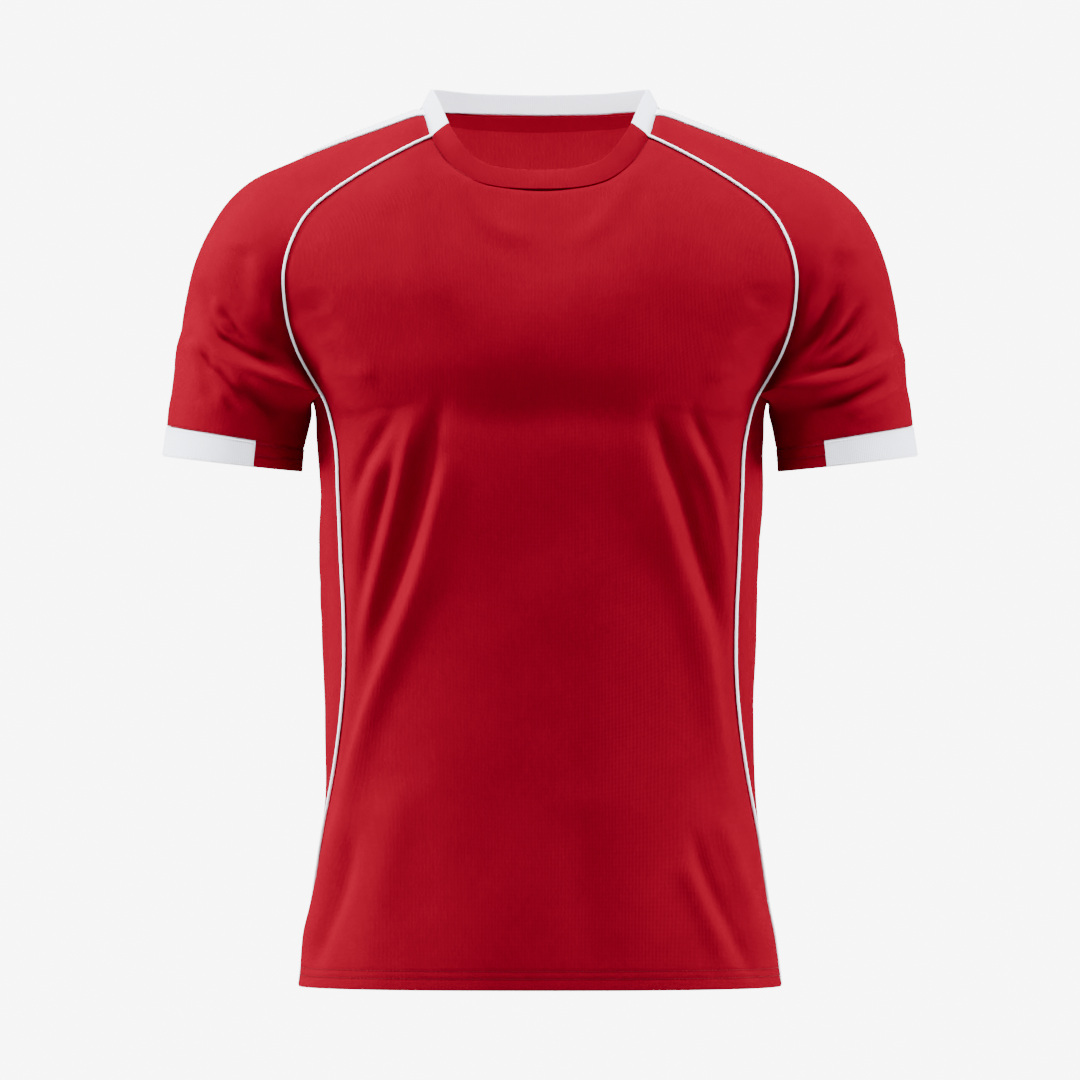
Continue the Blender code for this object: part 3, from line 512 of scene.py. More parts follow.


def knit_material(name, light, dark, wale, course, depth, roughness, sheen):
    """Weft-knitted yarn: columns of V-shaped loops, wale apart across and course apart down. Grooves
    between the loops take the darker colour as painted shade, and slow unevenness of the dye takes it as
    the knit's own tone."""
    material = bpy.data.materials.new(name)
    nodes, links = nodes_of(material)
    sums = partial(math_node, nodes, links)
    shader = nodes["Principled BSDF"]
    shader.inputs["Roughness"].default_value = roughness
    shader.inputs["Sheen Weight"].default_value = sheen
    shader.inputs["Sheen Roughness"].default_value = 0.45
    shader.inputs["Sheen Tint"].default_value = light
    shader.inputs["Specular IOR Level"].default_value = 0.0
    uv = nodes.new("ShaderNodeUVMap")
    uv.uv_map = "cut"
    axes = nodes.new("ShaderNodeSeparateXYZ")
    links.new(uv.outputs["UV"], axes.inputs[0])
    column = sums("ABSOLUTE", sums("SINE", sums("MULTIPLY", axes.outputs["X"], pi / wale)))
    chevron = sums("MULTIPLY", column, LOOP_SLANT)
    down = sums("MULTIPLY", axes.outputs["Y"], 2 * pi / course)
    loops = sums("SINE", sums("ADD", down, chevron))
    loops = sums("MULTIPLY", sums("ADD", loops, 1.0), 0.5)
    height = sums("MULTIPLY", column, sums("ADD", loops, LOOP_FLOOR))
    place = nodes.new("ShaderNodeTexCoord")
    dye = node_with(nodes, "ShaderNodeTexNoise", Scale=34.0, Detail=3.0)
    links.new(place.outputs["Object"], dye.inputs["Vector"])
    # The colour is painted shade in the grooves between the loops, from their height, plus the dye's own
    # uneven tone.
    groove_shade_and_dye = sums("MULTIPLY", height, YARN_GROOVE_SHADE)
    groove_shade_and_dye = sums("ADD", groove_shade_and_dye, sums("MULTIPLY", dye.outputs["Fac"], DYE_SHADE))
    ramp = nodes.new("ShaderNodeValToRGB")
    for end, (position, colour) in zip(ramp.color_ramp.elements, ((0.10, dark), (0.72, light))):
        end.position = position
        end.color = colour
    links.new(groove_shade_and_dye, ramp.inputs["Fac"])
    links.new(ramp.outputs["Color"], shader.inputs["Base Color"])
    ripple = node_with(nodes, "ShaderNodeTexNoise", Scale=55.0, Detail=2.0)
    links.new(place.outputs["Object"], ripple.inputs["Vector"])
    soft = node_with(nodes, "ShaderNodeBump", Strength=0.35, Distance=0.0012)
    links.new(ripple.outputs["Fac"], soft.inputs["Height"])
    yarn = node_with(nodes, "ShaderNodeBump", Strength=0.6, Distance=depth)
    links.new(height, yarn.inputs["Height"])
    links.new(soft.outputs["Normal"], yarn.inputs["Normal"])
    links.new(yarn.outputs["Normal"], shader.inputs["Normal"])
    return material


red_knit = knit_material(
    "red interlock knit",
    light=(0.138, 0.0018, 0.0088, 1),
    dark=(0.090, 0.0011, 0.0056, 1),
    wale=0.0011,
    course=0.0010,
    depth=0.00022,
    roughness=0.58,
    sheen=0.22,
)


def finished(piece, node):
    """Hangs the piece from the root and hides the model's part that it takes the place of."""
    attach(piece, "root")
    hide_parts(node)


front = front_grid()
front_normals = grid_normals(front)
from_seam, from_neck = from_sides(front), run_along(front, 0)
clear_of_seam = smooth_step(from_seam / CREASE_CLEARANCE)
front_height = creased(front, FRONT_CREASES) * clear_of_seam
front_height += unevenness(front, WAVE_LENGTH, seed=3) * clear_of_seam
front_height += rolled_in(np.minimum(from_seam, from_neck)) + hem_relief(front, RAGLAN_STEPS)
front_height += under_band(from_neck)
front_cloth = front + front_normals * front_height[..., None]
front_wall = hem_thickness(front_cloth, RAGLAN_STEPS)
front_blocks = [(front_cloth, cut_map(front_cloth), front_wall)]
front_panel = cloth_piece("front_panel_cloth", front_blocks, red_knit)
finished(front_panel, "front_panel")

# --------------------------------------------------------------------------------------------------
# Back panel
# The same red knit, cut in one piece that wraps round both sides to the piped seams, with plain
# raglan seams above the underarms. Two long folds run down from the shoulder blades to the hips.
# --------------------------------------------------------------------------------------------------
WRAP_STEPS = 22  # from the back's own width round to a piped seam
BACK_FLAT_BELOW = -0.130
BACK_NECK_Z = 0.0135
SIDE_BEGINS = 0.82  # the part of the half width at which the side's folds begin
SIDE_BLEND = 0.14  # and the part over which they come up
SIDE_CLEARANCE = 0.025  # and their clearance from the piping
RIGHT_SIDE_DROP = 0.034  # how much lower they lie under the right arm
BACK_CREASES = (
    Crease(0.0070, 0.0076, -0.1, (
        (0.056, -0.140), (0.0575, -0.168), (0.0665, -0.218), (0.0733, -0.263), (0.0823, -0.312),
        (0.0935, -0.362), (0.107, -0.416), (0.1205, -0.470), (0.1363, -0.519), (0.1543, -0.569),
        (0.1678, -0.614), (0.175, -0.650),
    )),
    Crease(0.0110, -0.0074, -0.1, (
        (0.090, -0.150), (0.0935, -0.186), (0.0958, -0.227), (0.1003, -0.276), (0.107, -0.330),
        (0.116, -0.371), (0.1273, -0.425), (0.140, -0.480),
    )),
    Crease(0.0095, 0.0052, 0.1, (
        (0.118, -0.240), (0.1228, -0.281), (0.1318, -0.344), (0.1453, -0.411), (0.154, -0.460),
    )),
    Crease(0.0080, -0.0034, 0.0, ((0.139, -0.250), (0.146, -0.320), (0.154, -0.390))),
    Crease(0.0115, -0.0052, 0.0, (
        (0.066, -0.300), (0.085, -0.400), (0.109, -0.480), (0.137, -0.570), (0.154, -0.640),
    )),
    Crease(0.0120, 0.0080, 0.2, (
        (-0.051, -0.140), (-0.055, -0.177), (-0.064, -0.254), (-0.0685, -0.321), (-0.0798, -0.380),
        (-0.0888, -0.434), (-0.100, -0.483), (-0.1158, -0.519), (-0.1383, -0.564),
        (-0.1608, -0.609), (-0.174, -0.650),
    )),
    Crease(0.0095, -0.0076, 0.0, (
        (-0.075, -0.145), (-0.0775, -0.173), (-0.0865, -0.218), (-0.0955, -0.272),
        (-0.1045, -0.330), (-0.1135, -0.389), (-0.1225, -0.447), (-0.135, -0.500),
    )),
    Crease(0.0080, 0.0052, 0.0, ((-0.110, -0.200), (-0.122, -0.290), (-0.135, -0.380), (-0.146, -0.450))),
    Crease(0.0070, -0.0036, 0.0, ((-0.133, -0.240), (-0.143, -0.310), (-0.152, -0.380))),
    Crease(0.0095, 0.0046, 0.0, ((-0.133, -0.480), (-0.149, -0.560), (-0.168, -0.640))),
    Crease(0.0150, -0.0044, 0.0, ((-0.060, -0.330), (-0.072, -0.430), (-0.098, -0.520), (-0.135, -0.610))),
    Crease(0.0120, 0.0052, 0.0, ((0.135, -0.590), (0.150, -0.640), (0.162, -0.690))),
    Crease(0.0220, 0.0034, 0.0, ((0.020, -0.540), (0.026, -0.620), (0.030, -0.690))),
    Crease(0.0070, -0.0032, 0.0, ((0.190, -0.190), (0.170, -0.196), (0.145, -0.215))),
    Crease(0.0060, 0.0024, 0.0, ((0.188, -0.178), (0.168, -0.183), (0.146, -0.196))),
    Crease(0.0070, -0.0034, 0.0, ((-0.190, -0.185), (-0.168, -0.194), (-0.142, -0.216))),
    Crease(0.0060, 0.0024, 0.0, ((-0.187, -0.200), (-0.166, -0.210), (-0.148, -0.228))),
    Crease(0.0160, 0.0016, 0.0, ((0.090, -0.020), (0.065, -0.070), (0.020, -0.098))),
    Crease(0.0160, 0.0015, 0.0, ((-0.095, -0.024), (-0.060, -0.080), (-0.010, -0.110))),
)
# The folds of the wrap below the arm, as y and z.
SIDE_CREASES = (
    Crease(0.0090, 0.0026, 0.1, ((-0.022, -0.262), (-0.006, -0.320), (0.010, -0.390), (0.022, -0.470))),
    Crease(0.0095, -0.0032, 0.0, ((0.002, -0.256), (0.020, -0.310), (0.038, -0.380), (0.050, -0.460))),
    Crease(0.0085, 0.0032, -0.1, ((0.026, -0.262), (0.042, -0.310), (0.058, -0.370), (0.066, -0.440))),
    Crease(0.0110, -0.0024, 0.0, ((-0.030, -0.340), (-0.018, -0.410), (-0.004, -0.490), (0.010, -0.560))),
    Crease(0.0110, 0.0026, 0.0, ((0.022, -0.480), (0.034, -0.560), (0.040, -0.640), (0.042, -0.690))),
    Crease(0.0105, -0.0028, 0.0, ((0.048, -0.520), (0.056, -0.590), (0.060, -0.670))),
    Crease(0.0090, 0.0017, 0.0, ((0.000, -0.560), (0.012, -0.620), (0.020, -0.690))),
)


def back_line_angle(z):
    """Where the back raglan seam's foot would run on down to the hem."""
    foot = body_surface(raglan["back_x"][-1], raglan["back_z"][-1], "back")
    return pi - np.arccos((foot[1] / of_ring("back_depth", z)) ** (RING_POWER / 2))


def underarm_z(part):
    """Along the underarm seam, part of the way from the front seam to the back seam."""
    return foot_z + (raglan["back_z"][-1] - foot_z) * part


def back_grid():
    """The panel above the underarm, and all of it below, from the piped seam at +X to that at -X."""
    part = np.linspace(0, 1, RAGLAN_STEPS + 1)[:, None]
    u = np.linspace(1, -1, PANEL_STEPS + 1)[None, :]
    edge_x, edge_z = through(raglan["back_x"], part), through(raglan["back_z"], part)
    corner_z, low_corner_z = raglan["back_z"][[0, -1]]
    rise = np.maximum(edge_z - BACK_FLAT_BELOW, 0) / (corner_z - BACK_FLAT_BELOW)
    middle_z = edge_z + rise * (BACK_NECK_Z - corner_z)
    x = across_panel(edge_x, edge_z, u)
    upper = body_surface(x, middle_z + (edge_z - middle_z) * u**4, "back")
    low_z = level_rows(low_corner_z)
    middle = ring_point(low_z, pi - (pi - back_line_angle(low_z)) * u)
    middle = np.concatenate([upper[-1:], middle])
    share = np.linspace(0, 1, WRAP_STEPS + 1)[None, :]
    drop = np.concatenate([[[0.0]], (low_z - low_corner_z) / (hem_z - low_corner_z)])
    top = underarm_z(share)
    z = top + (hem_z - top) * drop
    seam = side_seam_angle(z)
    wrap = ring_point(z, seam + (back_line_angle(z) - seam) * share)
    mirrored = wrap[:, ::-1] * (-1, 1, 1)
    return upper, np.concatenate([wrap[:, :-1], middle, mirrored[:, 1:]], axis=1)


upper, lower = back_grid()
above_underarm = slice(RAGLAN_STEPS + 1)
middle_columns = slice(WRAP_STEPS, WRAP_STEPS + PANEL_STEPS + 1)
whole = np.concatenate([upper[:-1], lower[:, middle_columns]])
whole_normals = grid_normals(whole)
from_raglan, from_piping = from_sides(whole), from_sides(lower)
from_neck = run_along(upper, 0)

clear_of_raglan = smooth_step(from_raglan[above_underarm] / CREASE_CLEARANCE)
upper_height = creased(upper, BACK_CREASES) * clear_of_raglan
upper_height += unevenness(upper, WAVE_LENGTH, seed=5)
upper_height += rolled_in(np.minimum(from_raglan[above_underarm], from_neck))
upper_height += under_band(from_neck)
upper_cloth = upper + whole_normals[above_underarm] * upper_height[..., None]

lower_height = creased(lower, BACK_CREASES) * smooth_step(from_piping / CREASE_CLEARANCE)
sideways = np.abs(lower[..., 0]) / of_ring("half_width", lower[..., 2])
at_side = smooth_step((sideways - SIDE_BEGINS) / SIDE_BLEND)
seen_from_side = lower[..., [1, 0, 2]]
for side, drop in ((1, 0.0), (-1, RIGHT_SIDE_DROP)):
    folds = creased(seen_from_side + (0, 0, drop), SIDE_CREASES) * at_side
    folds *= smooth_step(from_piping / SIDE_CLEARANCE)
    lower_height += np.where(side * lower[..., 0] > 0, folds, 0)
lower_height += unevenness(lower, WAVE_LENGTH, seed=5)
from_foot = np.zeros(lower.shape[1])
from_foot[middle_columns] = from_raglan[RAGLAN_STEPS]
from_underarm = np.hypot(run_along(lower, 0), from_foot)
lower_height += rolled_in(np.minimum(from_piping, from_underarm)) + hem_relief(lower, 0)
lower_normals = grid_normals(lower)
lower_normals[0, middle_columns] = whole_normals[RAGLAN_STEPS]
lower_cloth = lower + lower_normals * lower_height[..., None]
upper_cloth[-1] = lower_cloth[0, middle_columns]

lower_map = cut_map(lower_cloth)
upper_map = cut_map(upper_cloth) + (0, lower_map[0, lower.shape[1] // 2, 1])
back_blocks = [(upper_cloth, upper_map, CLOTH), (lower_cloth, lower_map, hem_thickness(lower_cloth, 0))]
back_panel = cloth_piece("back_panel_cloth", back_blocks, red_knit)
finished(back_panel, "back_panel")

# --------------------------------------------------------------------------------------------------
# Raglan sleeves
# Each sleeve is one piece of the red knit with the shoulder in it, sewn to both panels along the
# raglan seams and closed under the arm. Its hem has a notch over the arm for the white cuff band,
# and the cloth bunches in thin creases that run from the outside of the arm to the underarm.
# --------------------------------------------------------------------------------------------------
HALF_STEPS = 49  # from a raglan seam to the outline's top
OUTER_COLUMNS = 2 * HALF_STEPS + 1
INNER_STEPS = 28  # across the underarm
DROP_STEPS = 16  # from the armhole to where the sleeve is a plain tube
TUBE_STEPS = 26  # from there to the top of the cuff
CUFF_STEPS = 14
CUFF_ROW = DROP_STEPS + TUBE_STEPS  # the row of points at the cuff's top, counted from the armhole
SLEEVE_LETS_GO = 0.35  # the part of the raglan seam along which the sleeve keeps to the body
LETTING_GO = 0.40  # and the part along which it turns into a tube
FEELER = 0.01  # how far ahead of the seam the body's slope is taken
CLOSE_REACH = 0.36  # the fullness of a row that keeps to the body, near the seam
CLOSE_TOP_REACH = 0.55  # and at the outline's top
LOOSE_REACH = 0.42  # the same of a row that has let go
SLEEVE_BULGE = 0.038
SLEEVE_TOP_REACH = 0.056
SEAM_GAP = 0.0003
SLOPE_FROM = 0.97  # the part of the raglan seam at which the armhole's slope is taken
SLOPE_TO = 0.05  # the part of the tube at which its own is taken
CORNER_COLUMNS = 16  # how many columns each corner of the armhole is eased over
CUFF_DIP = 0.0040  # the cuff hangs lower at its front than at its back
CUFF_BAND_ANGLE = radians(111)  # how far the white band goes either side of the outside
TUBE_CORNER_ANGLE = radians(146)  # where the raglan seams' lines end on the tube
BAND_COLUMN = 14  # the band's front end lies on this column
BAND_END = OUTER_COLUMNS - 1 - BAND_COLUMN  # and its back end on this one
CUFF_TOP = 2 / 3  # of the way down the tube
FACE_BLEND = 0.030  # how far round from the arm's middle the front and back creases come up
OUTSIDE_BLEND = 0.035  # and the outside's creases
SLEEVE_WAVE_LENGTH = 0.08
SLEEVE_CLEARANCE = 0.020  # the creases' clearance from the sleeve's seams and its cuff
EASED_ROWS = 12  # rows over which the strap's way out turns into the tube's
CUFF_CREASES = 0.15  # what is left of the creases in the stitched cuff
CUFF_SEAM_DEPTH = 0.0005
CUFF_SEAM_REACH = 0.0012

sleeve_tube = table(
    "inner_x inner_z outer_x outer_z front_depth back_depth",
    (0.1822, -0.2380, 0.2920, -0.2080, 0.0640, 0.0620),
    (0.1850, -0.2510, 0.2948, -0.2270, 0.0610, 0.0600),
    (0.1874, -0.2620, 0.2968, -0.2440, 0.0590, 0.0585),
    (0.1890, -0.2806, 0.3002, -0.2682, 0.0575, 0.0575),
)

LEFT_SLEEVE_CREASES = {
    "front": (
        Crease(0.0058, -0.0052, 0.1, (
            (0.266, -0.178), (0.245, -0.196), (0.230, -0.202), (0.209, -0.208), (0.183, -0.212),
        )),
        Crease(0.0066, 0.0042, 0.0, ((0.284, -0.186), (0.262, -0.201), (0.239, -0.212), (0.208, -0.219))),
        Crease(0.0060, -0.0040, 0.0, ((0.278, -0.205), (0.254, -0.218), (0.233, -0.227), (0.206, -0.234))),
        Crease(0.0072, 0.0033, 0.0, ((0.286, -0.214), (0.262, -0.230), (0.236, -0.241))),
        Crease(0.0052, -0.0027, 0.0, ((0.238, -0.138), (0.227, -0.160), (0.212, -0.181), (0.194, -0.199))),
        Crease(0.0046, 0.0022, 0.0, ((0.246, -0.142), (0.234, -0.164), (0.220, -0.184), (0.202, -0.202))),
        Crease(0.0050, -0.0030, 0.0, ((0.260, -0.142), (0.245, -0.164), (0.233, -0.181), (0.212, -0.200))),
        Crease(0.0052, 0.0026, 0.0, ((0.269, -0.152), (0.256, -0.170), (0.244, -0.184), (0.224, -0.199))),
        Crease(0.0130, -0.0048, 0.2, ((0.236, -0.108), (0.233, -0.128), (0.226, -0.150), (0.208, -0.176))),
        Crease(0.0055, 0.0020, 0.0, ((0.205, -0.140), (0.206, -0.160), (0.198, -0.186))),
    ),
    "back": (
        Crease(0.0062, -0.0052, 0.1, (
            (0.260, -0.122), (0.252, -0.144), (0.240, -0.166), (0.2218, -0.195), (0.190, -0.218),
        )),
        Crease(0.0053, 0.0033, 0.0, ((0.250, -0.116), (0.242, -0.138), (0.230, -0.164), (0.210, -0.195))),
        Crease(0.0055, -0.0037, 0.0, ((0.233, -0.096), (0.227, -0.122), (0.219, -0.150), (0.2038, -0.191))),
        Crease(0.0055, 0.0037, 0.0, ((0.267, -0.140), (0.256, -0.164), (0.240, -0.188), (0.210, -0.208))),
        Crease(0.0062, -0.0052, 0.0, (
            (0.274, -0.150), (0.264, -0.170), (0.250, -0.192), (0.2173, -0.213), (0.192, -0.224),
        )),
        Crease(0.0066, 0.0041, 0.0, ((0.282, -0.168), (0.264, -0.192), (0.238, -0.211), (0.206, -0.226))),
        Crease(0.0066, -0.0044, 0.0, ((0.285, -0.187), (0.264, -0.204), (0.2353, -0.219), (0.204, -0.236))),
        Crease(0.0074, 0.0035, 0.0, ((0.288, -0.202), (0.264, -0.220), (0.238, -0.236), (0.212, -0.246))),
    ),
    "outside": (
        Crease(0.0080, -0.0010, 0.1, (
            (-0.046, -0.146), (-0.018, -0.168), (0.016, -0.184), (0.048, -0.192),
        )),
        Crease(0.0075, 0.0009, 0.0, ((-0.044, -0.166), (-0.010, -0.188), (0.030, -0.204), (0.050, -0.210))),
        Crease(0.0080, -0.0008, 0.0, ((0.050, -0.112), (0.024, -0.140), (-0.004, -0.156))),
        Crease(0.0095, 0.0008, 0.0, ((0.050, -0.134), (0.026, -0.156), (0.000, -0.168))),
        Crease(0.0080, -0.0007, 0.0, ((-0.046, -0.194), (-0.018, -0.210), (0.012, -0.220))),
    ),
}
RIGHT_SLEEVE_CREASES = {
    "front": (
        Crease(0.0062, -0.0037, 0.1, (
            (0.270, -0.130), (0.2635, -0.154), (0.2545, -0.172), (0.2425, -0.184),
        )),
        Crease(0.0060, -0.0053, 0.1, (
            (0.2545, -0.172), (0.2425, -0.184), (0.2275, -0.193), (0.2095, -0.199), (0.186, -0.206),
        )),
        Crease(0.0046, -0.0031, 0.0, ((0.252, -0.154), (0.245, -0.165), (0.2335, -0.178), (0.218, -0.190))),
        Crease(0.0048, 0.0028, 0.0, ((0.260, -0.148), (0.253, -0.164), (0.242, -0.176))),
        Crease(0.0067, 0.0039, 0.0, (
            (0.270, -0.158), (0.262, -0.178), (0.246, -0.196), (0.220, -0.207), (0.195, -0.213),
        )),
        Crease(0.0110, -0.0042, 0.1, ((0.232, -0.106), (0.2335, -0.120), (0.235, -0.142), (0.226, -0.166))),
        Crease(0.0055, 0.0024, 0.0, ((0.202, -0.134), (0.205, -0.148), (0.212, -0.170))),
        Crease(0.0050, 0.0033, 0.0, ((0.2765, -0.176), (0.272, -0.198), (0.2625, -0.226))),
        Crease(0.0050, -0.0033, 0.0, ((0.2655, -0.184), (0.258, -0.204), (0.247, -0.226))),
        Crease(0.0050, 0.0031, 0.0, ((0.260, -0.200), (0.252, -0.216), (0.244, -0.238))),
        Crease(0.0058, -0.0037, 0.0, ((0.256, -0.197), (0.245, -0.214), (0.229, -0.238))),
        Crease(0.0072, -0.0031, 0.0, ((0.238, -0.212), (0.220, -0.226), (0.200, -0.238))),
    ),
    "back": (
        Crease(0.0120, -0.0046, 0.1, ((0.210, -0.136), (0.215, -0.156), (0.222, -0.176), (0.216, -0.196))),
        Crease(0.0041, 0.0031, 0.0, ((0.244, -0.160), (0.233, -0.174), (0.218, -0.190), (0.199, -0.211))),
        Crease(0.0055, -0.0039, 0.0, ((0.254, -0.160), (0.240, -0.178), (0.222, -0.196), (0.198, -0.217))),
        Crease(0.0048, 0.0039, 0.0, ((0.260, -0.177), (0.245, -0.191), (0.228, -0.205), (0.207, -0.220))),
        Crease(0.0060, -0.0048, 0.0, ((0.274, -0.186), (0.260, -0.198), (0.240, -0.213), (0.220, -0.229))),
        Crease(0.0070, 0.0037, 0.0, ((0.282, -0.196), (0.262, -0.212), (0.240, -0.228))),
        Crease(0.0067, -0.0033, 0.0, ((0.262, -0.112), (0.250, -0.134), (0.236, -0.152))),
    ),
    "outside": (
        Crease(0.0085, -0.0009, 0.1, (
            (-0.048, -0.132), (-0.022, -0.158), (0.006, -0.176), (0.034, -0.186),
        )),
        Crease(0.0075, 0.0009, 0.0, ((-0.046, -0.152), (-0.020, -0.176), (0.010, -0.194), (0.040, -0.202))),
        Crease(0.0075, -0.0009, 0.0, ((0.050, -0.146), (0.020, -0.172), (-0.012, -0.190))),
        Crease(0.0090, 0.0007, 0.0, ((0.048, -0.116), (0.026, -0.136), (0.004, -0.144))),
        Crease(0.0080, -0.0007, 0.0, ((0.046, -0.206), (0.016, -0.216), (-0.016, -0.220))),
    ),
}


def letting_go(part):
    """1 where the sleeve follows the body's curve at the shoulder, 0 where it is a tube of its own."""
    return 1 - smooth_step((part - SLEEVE_LETS_GO) / LETTING_GO)


def sleeve_half(part, face):
    """Rows of the sleeve, each from its front or back seam to the outline's top."""
    part = np.asarray(part, float)[:, None]
    t = np.linspace(0, 1, HALF_STEPS + 1)[None, :, None]
    x, z = through(raglan[face + "_x"], part), through(raglan[face + "_z"], part)
    top = xyz(through(raglan["top_x"], part), 0.0, through(raglan["top_z"], part))
    forward = np.array((0.0, -1.0 if face == "front" else 1.0, 0.0))
    seam = body_surface(x, z, face)
    flat_run = (top - seam) * (1, 0, 1)
    length = np.linalg.norm(flat_run, axis=-1, keepdims=True)
    run = flat_run / length
    step = np.minimum(FEELER, length / 4)
    ahead = body_surface(x + run[..., 0] * step[..., 0], z + run[..., 2] * step[..., 0], face)
    blend = letting_go(part)[..., None]
    reach = np.linalg.norm(top - seam, axis=-1, keepdims=True)
    loose = run * (LOOSE_REACH * length) + forward * SLEEVE_BULGE
    handle = unit(ahead - seam) * (CLOSE_REACH * reach * blend) + loose * (1 - blend)
    top_reach = CLOSE_TOP_REACH * np.abs(seam[..., 1:2]) * blend + SLEEVE_TOP_REACH * (1 - blend)
    seam = seam + unit(handle) * SEAM_GAP / 2
    a, b, c, d = seam, seam + handle, top + forward * top_reach, top
    s = 1 - t
    return a * s**3 + b * (3 * s * s * t) + c * (3 * s * t * t) + d * t**3


def sleeve_rows(part):
    """Rows from the front seam, over the outline's top, to the back seam."""
    return np.concatenate([sleeve_half(part, "front"), sleeve_half(part, "back")[:, -2::-1]], axis=1)


def tube_value(column, part):
    return through(sleeve_tube[column], part)


def tube_rows(part, angle):
    """Rows of the tube. Angle 0 is the outside, pi / 2 the front, pi the inside."""
    part, angle = np.asarray(part, float)[:, None], np.asarray(angle)[None, :]
    inner_x, inner_z = tube_value("inner_x", part), tube_value("inner_z", part)
    outer_x, outer_z = tube_value("outer_x", part), tube_value("outer_z", part)
    depth = np.where(np.sin(angle) > 0, tube_value("front_depth", part), tube_value("back_depth", part))
    x = (inner_x + outer_x) / 2 + (outer_x - inner_x) / 2 * np.cos(angle)
    z = (inner_z + outer_z) / 2 + (outer_z - inner_z) / 2 * np.cos(angle) - CUFF_DIP * np.sin(angle)
    return xyz(x, -depth * np.sin(angle), z)


def outer_angles():
    to_band = np.linspace(TUBE_CORNER_ANGLE, CUFF_BAND_ANGLE, BAND_COLUMN + 1)
    to_top = np.linspace(CUFF_BAND_ANGLE, 0, HALF_STEPS - BAND_COLUMN + 1)
    half = np.concatenate([to_band, to_top[1:]])
    return np.concatenate([half, -half[-2::-1]])


def dropped(last, slope, first, next_slope):
    """Rows between the armhole's last row and the tube's first."""
    chord = np.linalg.norm(first - last, axis=-1, keepdims=True)
    t = np.linspace(0, 1, DROP_STEPS + 1)[:, None, None]
    return hermite(last, first, unit(slope) * chord, unit(next_slope) * chord, t)


def sleeve_grids():
    """Three grids that share their edges: the sleeve's outer side down to the cuff, its underarm
    side down to the cuff, and the cuff."""
    strap = sleeve_rows(np.linspace(0, 1, RAGLAN_STEPS + 1))
    above = sleeve_rows([SLOPE_FROM])[0]
    angles = outer_angles()
    tube_part = np.linspace(0, CUFF_TOP, TUBE_STEPS + 1)
    tube = tube_rows(tube_part, angles)
    fall = tube_rows([SLOPE_TO], angles)[0] - tube[0]
    columns = np.arange(OUTER_COLUMNS)
    corner = smooth_step(np.minimum(columns, columns[::-1]) / CORNER_COLUMNS)[:, None]
    slope = unit(strap[-1] - above) * corner + unit(tube[0] - strap[-1]) * (1 - corner)
    middle = dropped(strap[-1], slope, tube[0], fall)
    outside = np.concatenate([strap, middle[1:], tube[1:]])
    share = np.linspace(1, 0, INNER_STEPS + 1)
    z = underarm_z(share)
    seam = side_seam_angle(np.full(1, foot_z))
    edge = ring_point(z, seam + (back_line_angle(z) - seam) * share)
    edge += unit(edge * (1, 1, 0)) * SEAM_GAP
    edge[0], edge[-1] = strap[-1, -1], strap[-1, 0]
    inner_angles = np.linspace(-TUBE_CORNER_ANGLE, TUBE_CORNER_ANGLE - 2 * pi, INNER_STEPS + 1)
    inner_tube = tube_rows(tube_part, inner_angles)
    inner_fall = tube_rows([SLOPE_TO], inner_angles)[0] - inner_tube[0]
    inner_middle = dropped(edge, inner_tube[0] - edge, inner_tube[0], inner_fall)
    inside = np.concatenate([inner_middle, inner_tube[1:]])
    inside[: DROP_STEPS + 1, 0], inside[: DROP_STEPS + 1, -1] = middle[:, -1], middle[:, 0]
    cuff_part = CUFF_TOP + (1 - CUFF_TOP) * np.linspace(0, 1, CUFF_STEPS + 1)
    return outside, inside, tube_rows(cuff_part, np.concatenate([angles, inner_angles[1:]]))


def sleeve_height(points, creases, seed):
    """Creases on the front and the back, which die out round the arm, and slight ones outside."""
    height = np.zeros(points.shape[:2])
    for face, sign in (("front", -1), ("back", 1)):
        height += creased(points, creases[face]) * smooth_step(sign * points[..., 1] / FACE_BLEND)
    x = points[..., 0]
    outer = smooth_step((x - x.mean(axis=1, keepdims=True)) / OUTSIDE_BLEND)
    height += creased(points[..., [1, 0, 2]], creases["outside"]) * outer
    return height + unevenness(points, SLEEVE_WAVE_LENGTH, seed)


def ring_normals(around):
    """Normals of closed rows, whose last column is the first again."""
    padded = np.concatenate([around[:, -2:-1], around, around[:, 1:2]], axis=1)
    return grid_normals(padded)[:, 1:-1]


